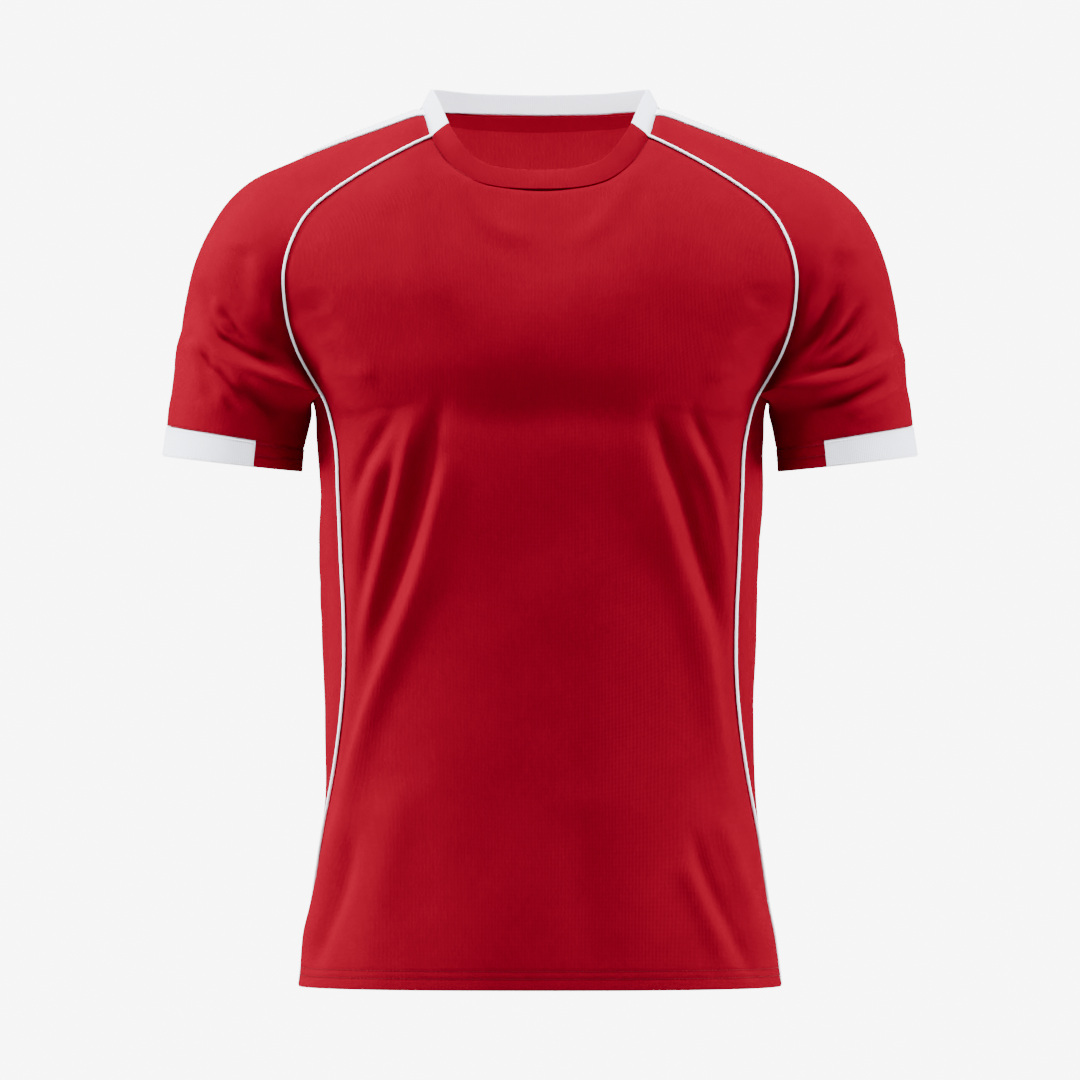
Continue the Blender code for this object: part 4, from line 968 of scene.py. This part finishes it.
def make_sleeve(side, creases, seed):
    """The strap, down to the armhole, and the closed rows below it, both creased."""
    outside, inside, cuff = sleeve_grids()
    closed = np.concatenate([outside[RAGLAN_STEPS:], inside[:, 1:]], axis=1)
    closed = np.concatenate([closed, cuff[1:]])
    closed_normals = ring_normals(closed)
    outside_normals = grid_normals(outside)
    blend = smooth_step(np.linspace(0, 1, EASED_ROWS))[:, None, None]
    closed_normals[:EASED_ROWS, :OUTER_COLUMNS] = unit(
        outside_normals[RAGLAN_STEPS : RAGLAN_STEPS + EASED_ROWS] * (1 - blend)
        + closed_normals[:EASED_ROWS, :OUTER_COLUMNS] * blend
    )
    strap = outside[: RAGLAN_STEPS + 1]
    from_seam, from_neck = from_sides(strap), run_along(strap, 0)
    strap_height = sleeve_height(strap, creases, seed) * smooth_step(from_seam / SLEEVE_CLEARANCE)
    strap_height += rolled_in(np.minimum(from_seam, from_neck)) + under_band(from_neck)
    strap = strap + outside_normals[: RAGLAN_STEPS + 1] * strap_height[..., None]
    height = sleeve_height(closed, creases, seed)
    from_armhole = run_along(closed, 0)
    from_foot = np.zeros(closed.shape[1])
    from_foot[:OUTER_COLUMNS] = from_seam[-1]
    near_seam = np.hypot(from_armhole, from_foot)
    height = height * smooth_step(near_seam / SLEEVE_CLEARANCE) + rolled_in(near_seam)
    below_cuff_top = from_armhole - from_armhole[CUFF_ROW]
    height *= CUFF_CREASES + (1 - CUFF_CREASES) * smooth_step(-below_cuff_top / SLEEVE_CLEARANCE)
    height += dip(below_cuff_top, CUFF_SEAM_DEPTH, CUFF_SEAM_REACH)
    closed = closed + closed_normals * height[..., None]
    strap[-1] = closed[0, :OUTER_COLUMNS]
    mirror = (side, 1, 1)
    return strap * mirror, closed * mirror


def facing_out(grid, side, thickness):
    """A block whose faces point outwards: mirrored grids run the other way across."""
    cut = cut_map(grid)
    return (grid, cut, thickness) if side > 0 else (grid[:, ::-1], cut[:, ::-1], thickness)


sleeves = {}
for name, side, creases, seed in (
    ("left", 1, LEFT_SLEEVE_CREASES, 11),
    ("right", -1, RIGHT_SLEEVE_CREASES, 12),
):
    strap, closed = make_sleeve(side, creases, seed)
    sleeves[name] = (side, strap, closed)
    outer = np.concatenate([strap[:-1], closed[: CUFF_ROW + 1, :OUTER_COLUMNS]])
    inner = closed[: CUFF_ROW + 1, OUTER_COLUMNS - 1 :]
    cuff_rows = closed[CUFF_ROW:]
    notch = np.concatenate([cuff_rows[:, BAND_END:-1], cuff_rows[:, : BAND_COLUMN + 1]], axis=1)
    blocks = [facing_out(grid, side, CLOTH) for grid in (outer, inner, notch)]
    sleeve = cloth_piece("sleeve_%s_cloth" % name, blocks, red_knit)
    finished(sleeve, "sleeve_" + name)

# --------------------------------------------------------------------------------------------------
# Cuff bands
# A strip of thick white knit is set into the notch of each sleeve's hem. It goes over the outside
# of the arm, from the front to the back, and is stitched down along its top and its hem.
# --------------------------------------------------------------------------------------------------
white_rib = knit_material(
    "white rib knit",
    light=(0.835, 0.860, 0.985, 1),
    dark=(0.700, 0.725, 0.845, 1),
    wale=0.0016,
    course=0.0011,
    depth=0.00030,
    roughness=0.62,
    sheen=0.15,
)
BAND_PROUD = 0.0003  # the band's knit is thicker than the sleeve's
BAND_ROUNDING = 0.002  # how far in from its edges it is as proud as that
BAND_EDGE_DEPTH = 0.0004
BAND_EDGE_REACH = 0.0007

for name, (side, strap, closed) in sleeves.items():
    band = closed[CUFF_ROW:, BAND_COLUMN : BAND_END + 1].copy()
    band[:, 0] += unit(band[:, 1] - band[:, 0]) * SEAM_GAP
    band[:, -1] += unit(band[:, -2] - band[:, -1]) * SEAM_GAP
    band[0] += unit(band[1] - band[0]) * SEAM_GAP
    out = grid_normals(band) * side
    down = run_along(band, 0)
    from_edge = np.minimum(np.minimum(down, down[-1:] - down), from_sides(band))
    lift = BAND_PROUD * smooth_step(from_edge / BAND_ROUNDING)
    lift += dip(from_edge, BAND_EDGE_DEPTH, BAND_EDGE_REACH)
    blocks = [facing_out(band + out * lift[..., None], side, CLOTH)]
    cuff = cloth_piece("cuff_band_%s_cloth" % name, blocks, white_rib)
    finished(cuff, "cuff_band_" + name)

# --------------------------------------------------------------------------------------------------
# Neckband and collar
# Two bands of knit, folded double, stand on the neck seam and lean in. The front one is red like
# the panel below it. The white one goes round the back and the sides, and its ends meet the red one
# at the front raglan seams.
# --------------------------------------------------------------------------------------------------
RIB = 0.0018
NECKBAND_WIDTH = 0.0160
NECKBAND_LEAN = 0.45  # inwards for each unit up
NECKBAND_SWELL = 0.0009  # fullest in the lower half
SWELL_AT_FOOT = 0.25  # where on the half wave of its swell the band starts
NECKBAND_SUNK = 0.0018  # how far its foot reaches below the panels' edges
NECKBAND_POINTS = 9  # up each face
FOLD_POINTS = 7  # over the fold, both ends counted
NECK_MIDDLE_Y = -0.010
NECK_STEP = 0.0016  # between the points of the neck seam
NECK_ROUNDS = 14  # how often the seam's kinks are softened
STAND_ROUNDS = 12  # and the way the bands stand
STAND_SPAN = 3  # points either side, for the seam's direction


def evenly_spaced(points, step):
    """The same line with its points a fixed distance apart."""
    run = np.append(0, np.cumsum(np.linalg.norm(np.diff(points, axis=0), axis=1)))
    count = max(int(round(run[-1] / step)), 2)
    at = np.linspace(0, run[-1], count + 1)
    return np.stack([np.interp(at, run, points[:, k]) for k in range(3)], axis=-1)


def softened(loop, rounds):
    """A closed line of points with its kinks taken out."""
    for _ in range(rounds):
        loop = 0.5 * loop + 0.25 * (np.roll(loop, 1, axis=0) + np.roll(loop, -1, axis=0))
    return loop


def neck_seam():
    """The neck seam all round from the front corner at -X across the front, as a closed loop, and
    the place of the front corner at +X."""
    front_line = evenly_spaced(front[0], NECK_STEP)
    side_line = evenly_spaced(sleeve_rows([0.0])[0], NECK_STEP)
    back_line = evenly_spaced(upper[0], NECK_STEP)
    parts = [front_line, side_line[1:], back_line[1:], side_line[-2::-1] * (-1, 1, 1)]
    loop = np.concatenate(parts)[:-1]
    return softened(loop, NECK_ROUNDS), len(front_line) - 1


def square_to(vectors, along):
    """The vectors with what runs along the line taken out."""
    return vectors - along * np.sum(vectors * along, axis=1, keepdims=True)


def band_frames(loop):
    """The way the bands stand at each point of the loop, up and leaning in, and outwards."""
    along = unit(np.roll(loop, -STAND_SPAN, axis=0) - np.roll(loop, STAND_SPAN, axis=0))
    away = unit((loop - (0, NECK_MIDDLE_Y, 0)) * (1, 1, 0))
    up = np.array((0, 0, 1)) - away * NECKBAND_LEAN
    stand = unit(softened(square_to(up, along), STAND_ROUNDS))
    return stand, unit(np.cross(along, stand))


def folded_profile():
    """Half the width of cloth goes up the outside, over the fold and down the inside."""
    radius = RIB / 2
    heights = np.linspace(0, NECKBAND_WIDTH + NECKBAND_SUNK - radius, NECKBAND_POINTS)
    wave = SWELL_AT_FOOT + (1 - SWELL_AT_FOOT) * heights / heights[-1]
    swell = NECKBAND_SWELL * np.sin(pi * wave)
    turn = np.linspace(0, pi, FOLD_POINTS)[1:-1]
    outer = np.stack([heights, swell], axis=-1)
    fold = np.stack([heights[-1] + radius * np.sin(turn), radius * np.cos(turn) - radius], axis=-1)
    inner = np.stack([heights[::-1], -RIB - swell[::-1]], axis=-1)
    return np.concatenate([outer, fold, inner])


def swept(name, centres, ups, outs, profile, material):
    """A profile carried along a line, closed round and capped at both ends."""
    grid = centres[None] + profile[:, :1, None] * ups[None] + profile[:, 1:, None] * outs[None]
    rows, columns = grid.shape[:2]
    n = np.arange(rows * columns).reshape(rows, columns)
    below = np.roll(n, -1, axis=0)
    quads = np.stack([n[:, :-1], n[:, 1:], below[:, 1:], below[:, :-1]], -1).reshape(-1, 4)
    caps = [n[:, 0].tolist(), n[::-1, -1].tolist()]
    run = np.append(0, np.cumsum(np.linalg.norm(np.diff(centres, axis=0), axis=1)))
    sides = np.diff(profile, axis=0, append=profile[:1])
    girth = np.append(0, np.cumsum(np.linalg.norm(sides, axis=1)))
    cut = np.stack(np.broadcast_arrays(run[None], girth[:, None]), -1)
    corners = np.stack([cut[:-1, :-1], cut[:-1, 1:], cut[1:, 1:], cut[1:, :-1]], 2).reshape(-1, 2)
    cut = np.concatenate([corners, profile, profile[::-1]])
    return smooth_piece(name, grid.reshape(-1, 3), quads.tolist() + caps, cut, material)


neck_loop, left_corner = neck_seam()
neck_up, neck_out = band_frames(neck_loop)
for node, knit, slot, first, last, flat in (
    ("neckband_front", red_knit, "red_knit", 0, left_corner, (0.217, 0.0178)),
    ("collar_band", white_rib, "white_rib", left_corner, len(neck_loop), (0.375, 0.0178)),
):
    at = np.arange(first, last + 1) % len(neck_loop)
    centres, ups = neck_loop[at].copy(), neck_up[at]
    centres[0] += unit(centres[1] - centres[0]) * SEAM_GAP / 2
    centres[-1] += unit(centres[-2] - centres[-1]) * SEAM_GAP / 2
    centres -= ups * NECKBAND_SUNK
    band = swept(node + "_knit", centres, ups, neck_out[at], folded_profile(), knit)
    finished(band, node)

# --------------------------------------------------------------------------------------------------
# Neck tape
# A tape is sewn over the collar's seam inside the back of the neck, where it shows through the neck
# opening. Its dark red is the tape's own colour and also painted shade under the collar. It lies on
# the inside of the back panel and ends short of the sleeves.
# --------------------------------------------------------------------------------------------------
TAPE = 0.0010
NECK_TAPE_WIDTH = 0.0150
NECK_TAPE_LINES = 9
NECK_TAPE_TRIM = PANEL_STEPS // 20  # columns that it ends short of the raglan seams
SLOPE_ROWS = 6  # rows down the panel, for the way the tape lies
# Darker than the jersey's red: the tape's own colour and painted shade under the collar.
shaded_neck_tape = knit_material(
    "dark red twill tape and painted shade",
    light=(0.100, 0.0012, 0.0060, 1),
    dark=(0.060, 0.0008, 0.0036, 1),
    wale=0.0007,
    course=0.0007,
    depth=0.00012,
    roughness=0.72,
    sheen=0.08,
)
share = np.linspace(0.0, 1.0, NECK_TAPE_LINES)[:, None, None]
kept_columns = slice(NECK_TAPE_TRIM, -NECK_TAPE_TRIM)
top_edge = upper_cloth[0, kept_columns]
down_panel = unit(upper_cloth[SLOPE_ROWS, kept_columns] - top_edge)
inwards = -grid_normals(upper_cloth)[0, kept_columns]
tape_grid = top_edge + down_panel * NECK_TAPE_WIDTH * share + inwards * (CLOTH + 2 * SEAM_GAP)
tape = cloth_piece("neck_tape_cloth", [(tape_grid, cut_map(tape_grid), TAPE)], shaded_neck_tape)
finished(tape, "neck_tape")

# --------------------------------------------------------------------------------------------------
# Piping
# White cord covered in a bias strip is caught in both front raglan seams and in the side seams below
# them, and reads as one line from the neck to the hem. About a quarter of it is sunk in the
# seam.
# --------------------------------------------------------------------------------------------------
PIPING_RADIUS = 0.0011
PIPING_SIDES = 12
PIPING_LIFT = 0.0006  # of its middle, out of the seam
PIPING_ASIDE = 0.0016  # on the panel's edge, where the sleeve stands out from the body
ASIDE_ENDS = 0.12  # below the underarm, it is back in the seam this far down
RAGLAN_POINTS = 160
SIDE_POINTS = 240
BESIDE_SEAM = 3  # columns in from the seam, for the way to the panel's middle
TURN_STEP = 0.02  # radians round the body, either side, for the way along its surface
DOWN_STEP = 0.004  # metres up and down, for the same
bias_strip = knit_material(
    "white bias strip",
    light=(0.895, 0.912, 0.985, 1),
    dark=(0.760, 0.780, 0.850, 1),
    wale=0.0006,
    course=0.0009,
    depth=0.00010,
    roughness=0.50,
    sheen=0.12,
)


def cord(name, path, material):
    """A round cord along the path, in its own frames."""
    along = unit(np.gradient(path, axis=0))
    out = unit(square_to(unit(path * (1, 1, 0)), along))
    angle = np.linspace(0, 2 * pi, PIPING_SIDES + 1)[:-1]
    circle = np.stack([np.cos(angle), -np.sin(angle)], axis=-1) * PIPING_RADIUS
    return swept(name, path, np.cross(out, along), out, circle, material)


def raglan_path():
    part = np.linspace(0, 1, RAGLAN_POINTS)
    seam = body_surface(through(raglan["front_x"], part), through(raglan["front_z"], part), "front")
    edge, beside = (through(front[above_underarm, column], part) for column in (-1, -1 - BESIDE_SEAM))
    outwards = unit(through(front_normals[above_underarm, -1], part))
    aside = (PIPING_ASIDE * (1 - letting_go(part)))[:, None]
    path = seam + outwards * PIPING_LIFT + unit(beside - edge) * aside
    path[0] += unit(path[1] - path[0]) * PIPING_RADIUS
    return path


def side_path():
    z = np.linspace(foot_z, hem_z, SIDE_POINTS)
    angle = side_seam_angle(z)
    around = ring_point(z, angle + TURN_STEP) - ring_point(z, angle - TURN_STEP)
    down = ring_point(z - DOWN_STEP, angle) - ring_point(z + DOWN_STEP, angle)
    outwards = unit(np.cross(down, around))
    aside = PIPING_ASIDE * (1 - smooth_step((foot_z - z) / ASIDE_ENDS))
    return ring_point(z, angle) + outwards * PIPING_LIFT - unit(around) * aside[:, None]


for name, side in (("left", 1), ("right", -1)):
    for place, path in (("raglan", raglan_path()), ("side", side_path())):
        node = place + "_piping_" + name
        piping = cord(node + "_cord", path * (side, 1, 1), bias_strip)
        finished(piping, node)

# --------------------------------------------------------------------------------------------------
# Shoulder tapes
# A narrow white tape runs from the collar out along the top of each shoulder, just in front of its
# ridge, and narrows to nothing. It lies on the sleeve and is stitched down along both edges.
# --------------------------------------------------------------------------------------------------
TAPE_LINES = 70
TAPE_COLUMNS = 8

# Places on the shoulder: how far down the sleeve, and how far from the raglan seam to the ridge,
# at which the tape's front and back edges lie.
tape_edges = table(
    "down front back",
    (0.0010, 0.4571, 0.6571),
    (0.0909, 0.5714, 0.7714),
    (0.1818, 0.6929, 0.8357),
    (0.2545, 0.7857, 0.8286),
)


def sampled(grid, row, column):
    """The grid's points at rows and columns that needn't be whole."""
    row, column = np.broadcast_arrays(np.asarray(row, float), np.asarray(column, float))
    i = np.clip(row.astype(int), 0, grid.shape[0] - 2)
    j = np.clip(column.astype(int), 0, grid.shape[1] - 2)
    down, right = (row - i)[..., None], (column - j)[..., None]
    upper_edge = grid[i, j] * (1 - right) + grid[i, j + 1] * right
    lower_edge = grid[i + 1, j] * (1 - right) + grid[i + 1, j + 1] * right
    return upper_edge * (1 - down) + lower_edge * down


shoulder_tapes = {}
for name, (side, strap, _) in sleeves.items():
    part = np.linspace(0, 1, TAPE_LINES)[:, None]
    row = through(tape_edges["down"], part) * RAGLAN_STEPS
    first, last = (through(tape_edges[edge], part) * HALF_STEPS for edge in ("front", "back"))
    column = first + (last - first) * np.linspace(0, 1, TAPE_COLUMNS + 1)
    out = unit(sampled(grid_normals(strap) * side, row, column))
    tape_grid = sampled(strap, row, column) + out * (TAPE + SEAM_GAP)
    shoulder_tapes[name] = (tape_grid, out)
    blocks = [facing_out(tape_grid, side, TAPE)]
    tape = cloth_piece("shoulder_tape_%s_cloth" % name, blocks, bias_strip)
    finished(tape, "shoulder_tape_" + name)

# --------------------------------------------------------------------------------------------------
# Stitching
# Polyester thread in short stitches that bow out of the cloth and dive back in: twin rows round the
# hem and the sleeves' red hems, one row below the neck seam, and one along each long edge of the
# cuff bands and the shoulder tapes.
# --------------------------------------------------------------------------------------------------
STITCH_PITCH = 0.0031
STITCH_LENGTH = 0.0026
THREAD_RADIUS = 0.00030
THREAD_SIDES = 6
BOW_SEGMENTS = 4
BOW_RISE = 2.4  # thread radii that a stitch's handle is out of the cloth
BOW_DIVE = 0.6  # thread radii that its ends are in the cloth


def thread_material(name, light, dark):
    """Two-ply thread: fine slanting turns, with painted shade between them."""
    material = bpy.data.materials.new(name)
    nodes, links = nodes_of(material)
    shader = nodes["Principled BSDF"]
    shader.inputs["Roughness"].default_value = 0.60
    shader.inputs["Specular IOR Level"].default_value = 0.05
    place = nodes.new("ShaderNodeTexCoord")
    twist = node_with(nodes, "ShaderNodeTexWave", Scale=420.0, Distortion=1.5)
    twist.bands_direction = "DIAGONAL"
    links.new(place.outputs["Object"], twist.inputs["Vector"])
    # The darker colour between the turns is painted shade.
    ramp = nodes.new("ShaderNodeValToRGB")
    ramp.color_ramp.elements[0].color = dark
    ramp.color_ramp.elements[1].color = light
    links.new(twist.outputs["Fac"], ramp.inputs["Fac"])
    links.new(ramp.outputs["Color"], shader.inputs["Base Color"])
    turns = node_with(nodes, "ShaderNodeBump", Strength=0.5, Distance=0.0001)
    links.new(twist.outputs["Fac"], turns.inputs["Height"])
    links.new(turns.outputs["Normal"], shader.inputs["Normal"])
    return material


def stitch_tree():
    """Lines of points in, stitches out. Each point of a line says which way is out of the cloth."""
    tree = bpy.data.node_groups.new("stitches", "GeometryNodeTree")
    sizes = [(name, "Float") for name in ("Pitch", "Stitch length", "Thread radius")]
    for name, kind in [("Lines", "Geometry"), *sizes, ("Thread", "Material")]:
        tree.interface.new_socket(name, in_out="INPUT", socket_type="NodeSocket" + kind)
    tree.interface.new_socket("Stitches", in_out="OUTPUT", socket_type="NodeSocketGeometry")
    nodes, links = tree.nodes, tree.links
    given, result = nodes.new("NodeGroupInput"), nodes.new("NodeGroupOutput")
    lines = nodes.new("GeometryNodeMeshToCurve")
    links.new(given.outputs["Lines"], lines.inputs["Mesh"])
    points = nodes.new("GeometryNodeCurveToPoints")
    points.mode = "LENGTH"
    links.new(lines.outputs["Curve"], points.inputs["Curve"])
    links.new(given.outputs["Pitch"], points.inputs["Length"])
    outwards = nodes.new("GeometryNodeInputNamedAttribute")
    outwards.data_type = "FLOAT_VECTOR"
    outwards.inputs["Name"].default_value = "outwards"
    turn = nodes.new("FunctionNodeAxesToRotation")
    turn.primary_axis, turn.secondary_axis = "Z", "X"
    links.new(points.outputs["Tangent"], turn.inputs["Primary Axis"])
    links.new(outwards.outputs["Attribute"], turn.inputs["Secondary Axis"])
    length, radius = given.outputs["Stitch length"], given.outputs["Thread radius"]
    bow = node_with(nodes, "GeometryNodeCurveQuadraticBezier", Resolution=BOW_SEGMENTS)
    for socket, rise, ahead in (
        ("Start", -BOW_DIVE, -0.5),
        ("Middle", BOW_RISE, 0.0),
        ("End", -BOW_DIVE, 0.5),
    ):
        place = nodes.new("ShaderNodeCombineXYZ")
        links.new(math_node(nodes, links, "MULTIPLY", radius, rise), place.inputs["X"])
        links.new(math_node(nodes, links, "MULTIPLY", length, ahead), place.inputs["Z"])
        links.new(place.outputs[0], bow.inputs[socket])
    section = node_with(nodes, "GeometryNodeCurvePrimitiveCircle", Resolution=THREAD_SIDES)
    links.new(radius, section.inputs["Radius"])
    stitch = nodes.new("GeometryNodeCurveToMesh")
    stitch.inputs["Fill Caps"].default_value = True
    links.new(bow.outputs["Curve"], stitch.inputs["Curve"])
    links.new(section.outputs["Curve"], stitch.inputs["Profile Curve"])
    each = nodes.new("GeometryNodeInstanceOnPoints")
    links.new(points.outputs["Points"], each.inputs["Points"])
    links.new(stitch.outputs["Mesh"], each.inputs["Instance"])
    links.new(turn.outputs["Rotation"], each.inputs["Rotation"])
    real = nodes.new("GeometryNodeRealizeInstances")
    links.new(each.outputs["Instances"], real.inputs["Geometry"])
    thread = nodes.new("GeometryNodeSetMaterial")
    links.new(real.outputs["Geometry"], thread.inputs["Geometry"])
    links.new(given.outputs["Thread"], thread.inputs["Material"])
    links.new(thread.outputs["Geometry"], result.inputs["Stitches"])
    return tree


stitches = stitch_tree()
red_thread = thread_material("red thread", (0.122, 0.0007, 0.0066, 1), (0.062, 0.0004, 0.0034, 1))
white_thread = thread_material("white thread", (0.88, 0.885, 0.90, 1), (0.62, 0.63, 0.66, 1))


def stitched(name, rows, thread):
    """Rows of stitching. Each row is its points and the way out of the cloth at each."""
    points = np.concatenate([row for row, _ in rows])
    outs = np.concatenate([ways for _, ways in rows])
    edges, start = [], 0
    for row, _ in rows:
        edges += [(start + i, start + i + 1) for i in range(len(row) - 1)]
        start += len(row)
    mesh = bpy.data.meshes.new(name)
    mesh.from_pydata(points.tolist(), edges, [])
    outwards = mesh.attributes.new("outwards", "FLOAT_VECTOR", "POINT")
    outwards.data.foreach_set("vector", outs.reshape(-1))
    piece = in_scene(name, mesh)
    sewing = piece.modifiers.new("stitches", "NODES")
    sewing.node_group = stitches
    given = {
        "Pitch": STITCH_PITCH,
        "Stitch length": STITCH_LENGTH,
        "Thread radius": THREAD_RADIUS,
        "Thread": thread,
    }
    for item in stitches.interface.items_tree:
        if item.in_out == "INPUT" and item.name in given:
            sewing[item.identifier] = given[item.name]
    evaluated = piece.evaluated_get(bpy.context.evaluated_depsgraph_get())
    plain = bpy.data.meshes.new_from_object(evaluated)
    piece.modifiers.remove(sewing)
    piece.data = plain
    plain.shade_smooth()
    plain.set_sharp_from_angle(angle=SHARP_ANGLE)
    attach(piece, "root")


def row_on(grid, out, row, column):
    """A row of stitching over a grid whose faces point outwards."""
    return sampled(grid, row, column), unit(sampled(out, row, column))


def every_column(grid, ends):
    """Places right across a grid, less the given number of columns at both ends."""
    return np.linspace(ends, grid.shape[1] - 1 - ends, grid.shape[1])


# The hem: its rows are so far above the edge, in grid rows of the turned hem.
HEM_ROW_ENDS = 1.5
hem_step = (HEM_TURN + HEM_MARGIN) / HEM_STEPS
hem_rows = []
for grid in (front_cloth, lower_cloth):
    out = grid_normals(grid)
    for up in HEM_ROWS:
        row = grid.shape[0] - 1 - up / hem_step
        hem_rows.append(row_on(grid, out, row, every_column(grid, HEM_ROW_ENDS)))
stitched("hem_stitches", hem_rows, red_thread)

# The neck: one row on the front panel, the back panel and the top of each sleeve. It is so many
# grid rows below the neck seam, and stops so many columns short of the raglan seams.
neck_rows = []
for grid, side, row, ends in (
    (front_cloth, 1, 0.55, 3.0),
    (upper_cloth, 1, 0.75, 2.0),
    *((strap, side, 0.55, 3.0) for side, strap, _ in sleeves.values()),
):
    neck_rows.append(row_on(grid, grid_normals(grid) * side, row, every_column(grid, ends)))
stitched("neck_stitches", neck_rows, red_thread)

# The sleeves: two rows in the red part of the hem, one above the band, one along the band's top and
# one along its hem, and the two on the shoulder tape. Where they lie is counted in grid rows and
# columns from the edge that the name gives.
RED_HEM_ROWS = (0.12, 0.50)  # of the way down the cuff
ABOVE_BAND = 0.55  # rows
BELOW_BAND_TOP = 1.3
ABOVE_BAND_HEM = 1.6
RED_HEM_ENDS = 0.6  # columns
BAND_ROW_ENDS = 1.0
TAPE_EDGE = 0.9
TAPE_ROW_START = 0.4  # lines of the tape
TAPE_ROW_END = 0.6
RED_HEM_POINTS = 90
BAND_POINTS = 150
for name, (side, strap, closed) in sleeves.items():
    out = ring_normals(closed) * side
    closed_twice = np.concatenate([closed, closed[:, 1:]], axis=1)
    out_twice = np.concatenate([out, out[:, 1:]], axis=1)
    red_hem_end = closed.shape[1] - 1 + BAND_COLUMN - RED_HEM_ENDS
    red_hem = np.linspace(BAND_END + RED_HEM_ENDS, red_hem_end, RED_HEM_POINTS)
    red_rows = []
    for share in RED_HEM_ROWS:
        red_rows.append(row_on(closed_twice, out_twice, CUFF_ROW + share * CUFF_STEPS, red_hem))
    over_band = np.linspace(BAND_COLUMN, BAND_END, BAND_POINTS)
    red_rows.append(row_on(closed, out, CUFF_ROW - ABOVE_BAND, over_band))
    stitched("sleeve_%s_stitches" % name, red_rows, red_thread)
    white_rows = []
    along_band = np.linspace(BAND_COLUMN + BAND_ROW_ENDS, BAND_END - BAND_ROW_ENDS, BAND_POINTS)
    for row in (CUFF_ROW + BELOW_BAND_TOP, CUFF_ROW + CUFF_STEPS - ABOVE_BAND_HEM):
        points, ways = row_on(closed, out, row, along_band)
        white_rows.append((points + ways * BAND_PROUD, ways))
    down_tape = np.linspace(TAPE_ROW_START, TAPE_LINES - 1 - TAPE_ROW_END, TAPE_LINES)
    for column in (TAPE_EDGE, TAPE_COLUMNS - TAPE_EDGE):
        white_rows.append(row_on(*shoulder_tapes[name], down_tape, np.full(TAPE_LINES, column)))
    stitched("white_%s_stitches" % name, white_rows, white_thread)

# --------------------------------------------------------------------------------------------------
# The room
# A plain floor as far below as a standing wearer's feet, soft lamps all round, and a camera in front
# of the jersey, a little above the height of the hem. The floor and the air are plain white to the
# camera, while the light meets a pale floor and only faintly white air.
# --------------------------------------------------------------------------------------------------
FLOOR_Z = -1.45
FLOOR_REACH = 6.0
FLOOR_GLOW = 6.0  # to the camera only
AIR_GLOW = 8.0  # to the camera only
AIR_LIGHT = 0.10
LOOK_AT = (0.0, 0.0, -0.335)
CAMERA_PLACE = (0.0, -4.0, -0.53)
LENS = 168


def white_to_camera(nodes, links, lit, seen, output):
    """The camera sees one shader, and the light meets the other."""
    ray = nodes.new("ShaderNodeLightPath")
    choice = nodes.new("ShaderNodeMixShader")
    links.new(ray.outputs["Is Camera Ray"], choice.inputs["Fac"])
    links.new(lit.outputs[0], choice.inputs[1])
    links.new(seen.outputs[0], choice.inputs[2])
    links.new(choice.outputs[0], output.inputs["Surface"])


floor_mesh = bpy.data.meshes.new("floor")
signs = ((-1, -1), (1, -1), (1, 1), (-1, 1))
corners = [(FLOOR_REACH * x, FLOOR_REACH * y, FLOOR_Z) for x, y in signs]
floor_mesh.from_pydata(corners, [], [(0, 1, 2, 3)])
pale_floor = bpy.data.materials.new("pale floor")
nodes, links = nodes_of(pale_floor)
paint = nodes["Principled BSDF"]
paint.inputs["Base Color"].default_value = (0.88, 0.88, 0.88, 1)
paint.inputs["Roughness"].default_value = 0.9
glow = node_with(nodes, "ShaderNodeEmission", Strength=FLOOR_GLOW)
white_to_camera(nodes, links, paint, glow, nodes["Material Output"])
floor_mesh.materials.append(pale_floor)
floor = in_scene("floor", floor_mesh)

air = bpy.data.worlds.new("white")
nodes, links = nodes_of(air)
faint = nodes["Background"]
faint.inputs["Color"].default_value = (1, 1, 1, 1)
faint.inputs["Strength"].default_value = AIR_LIGHT
bright = node_with(nodes, "ShaderNodeBackground", Color=(1, 1, 1, 1), Strength=AIR_GLOW)
white_to_camera(nodes, links, faint, bright, nodes["World Output"])
bpy.context.scene.world = air


def aimed(name, data, place, aim):
    """A camera or a lamp at its place, turned towards what it is aimed at."""
    thing = in_scene(name, data)
    thing.location = place
    thing.rotation_euler = (Vector(aim) - Vector(place)).to_track_quat("-Z", "Y").to_euler()
    return thing


camera_data = bpy.data.cameras.new("camera")
camera_data.lens = LENS
bpy.context.scene.camera = aimed("camera", camera_data, CAMERA_PLACE, LOOK_AT)

# Each lamp's place, what it is aimed at, its width, height and watts. The last one is inside the
# body and lights the lining that shows through the neck.
NECK_LINING = (0.0, 0.085, -0.010)
for name, place, aim, width, height, power in (
    ("side lamp left", (-2.4, -0.10, -0.3), LOOK_AT, 0.5, 1.2, 210),
    ("side lamp right", (2.4, -0.10, -0.3), LOOK_AT, 0.5, 1.2, 180),
    ("top lamp", (-0.2, -0.8, 1.7), LOOK_AT, 0.9, 0.5, 215),
    ("front lamp", (0.3, -3.2, 0.4), LOOK_AT, 1.2, 1.2, 14),
    ("back lamp", (0.3, 2.3, 1.2), LOOK_AT, 1.4, 0.8, 105),
    ("lining lamp", (0.0, -0.03, -0.26), NECK_LINING, 0.12, 0.05, 3.2),
):
    lamp = bpy.data.lights.new(name, "AREA")
    lamp.shape = "RECTANGLE"
    lamp.size, lamp.size_y = width, height
    lamp.energy = power
    aimed(name, lamp, place, aim).visible_camera = False
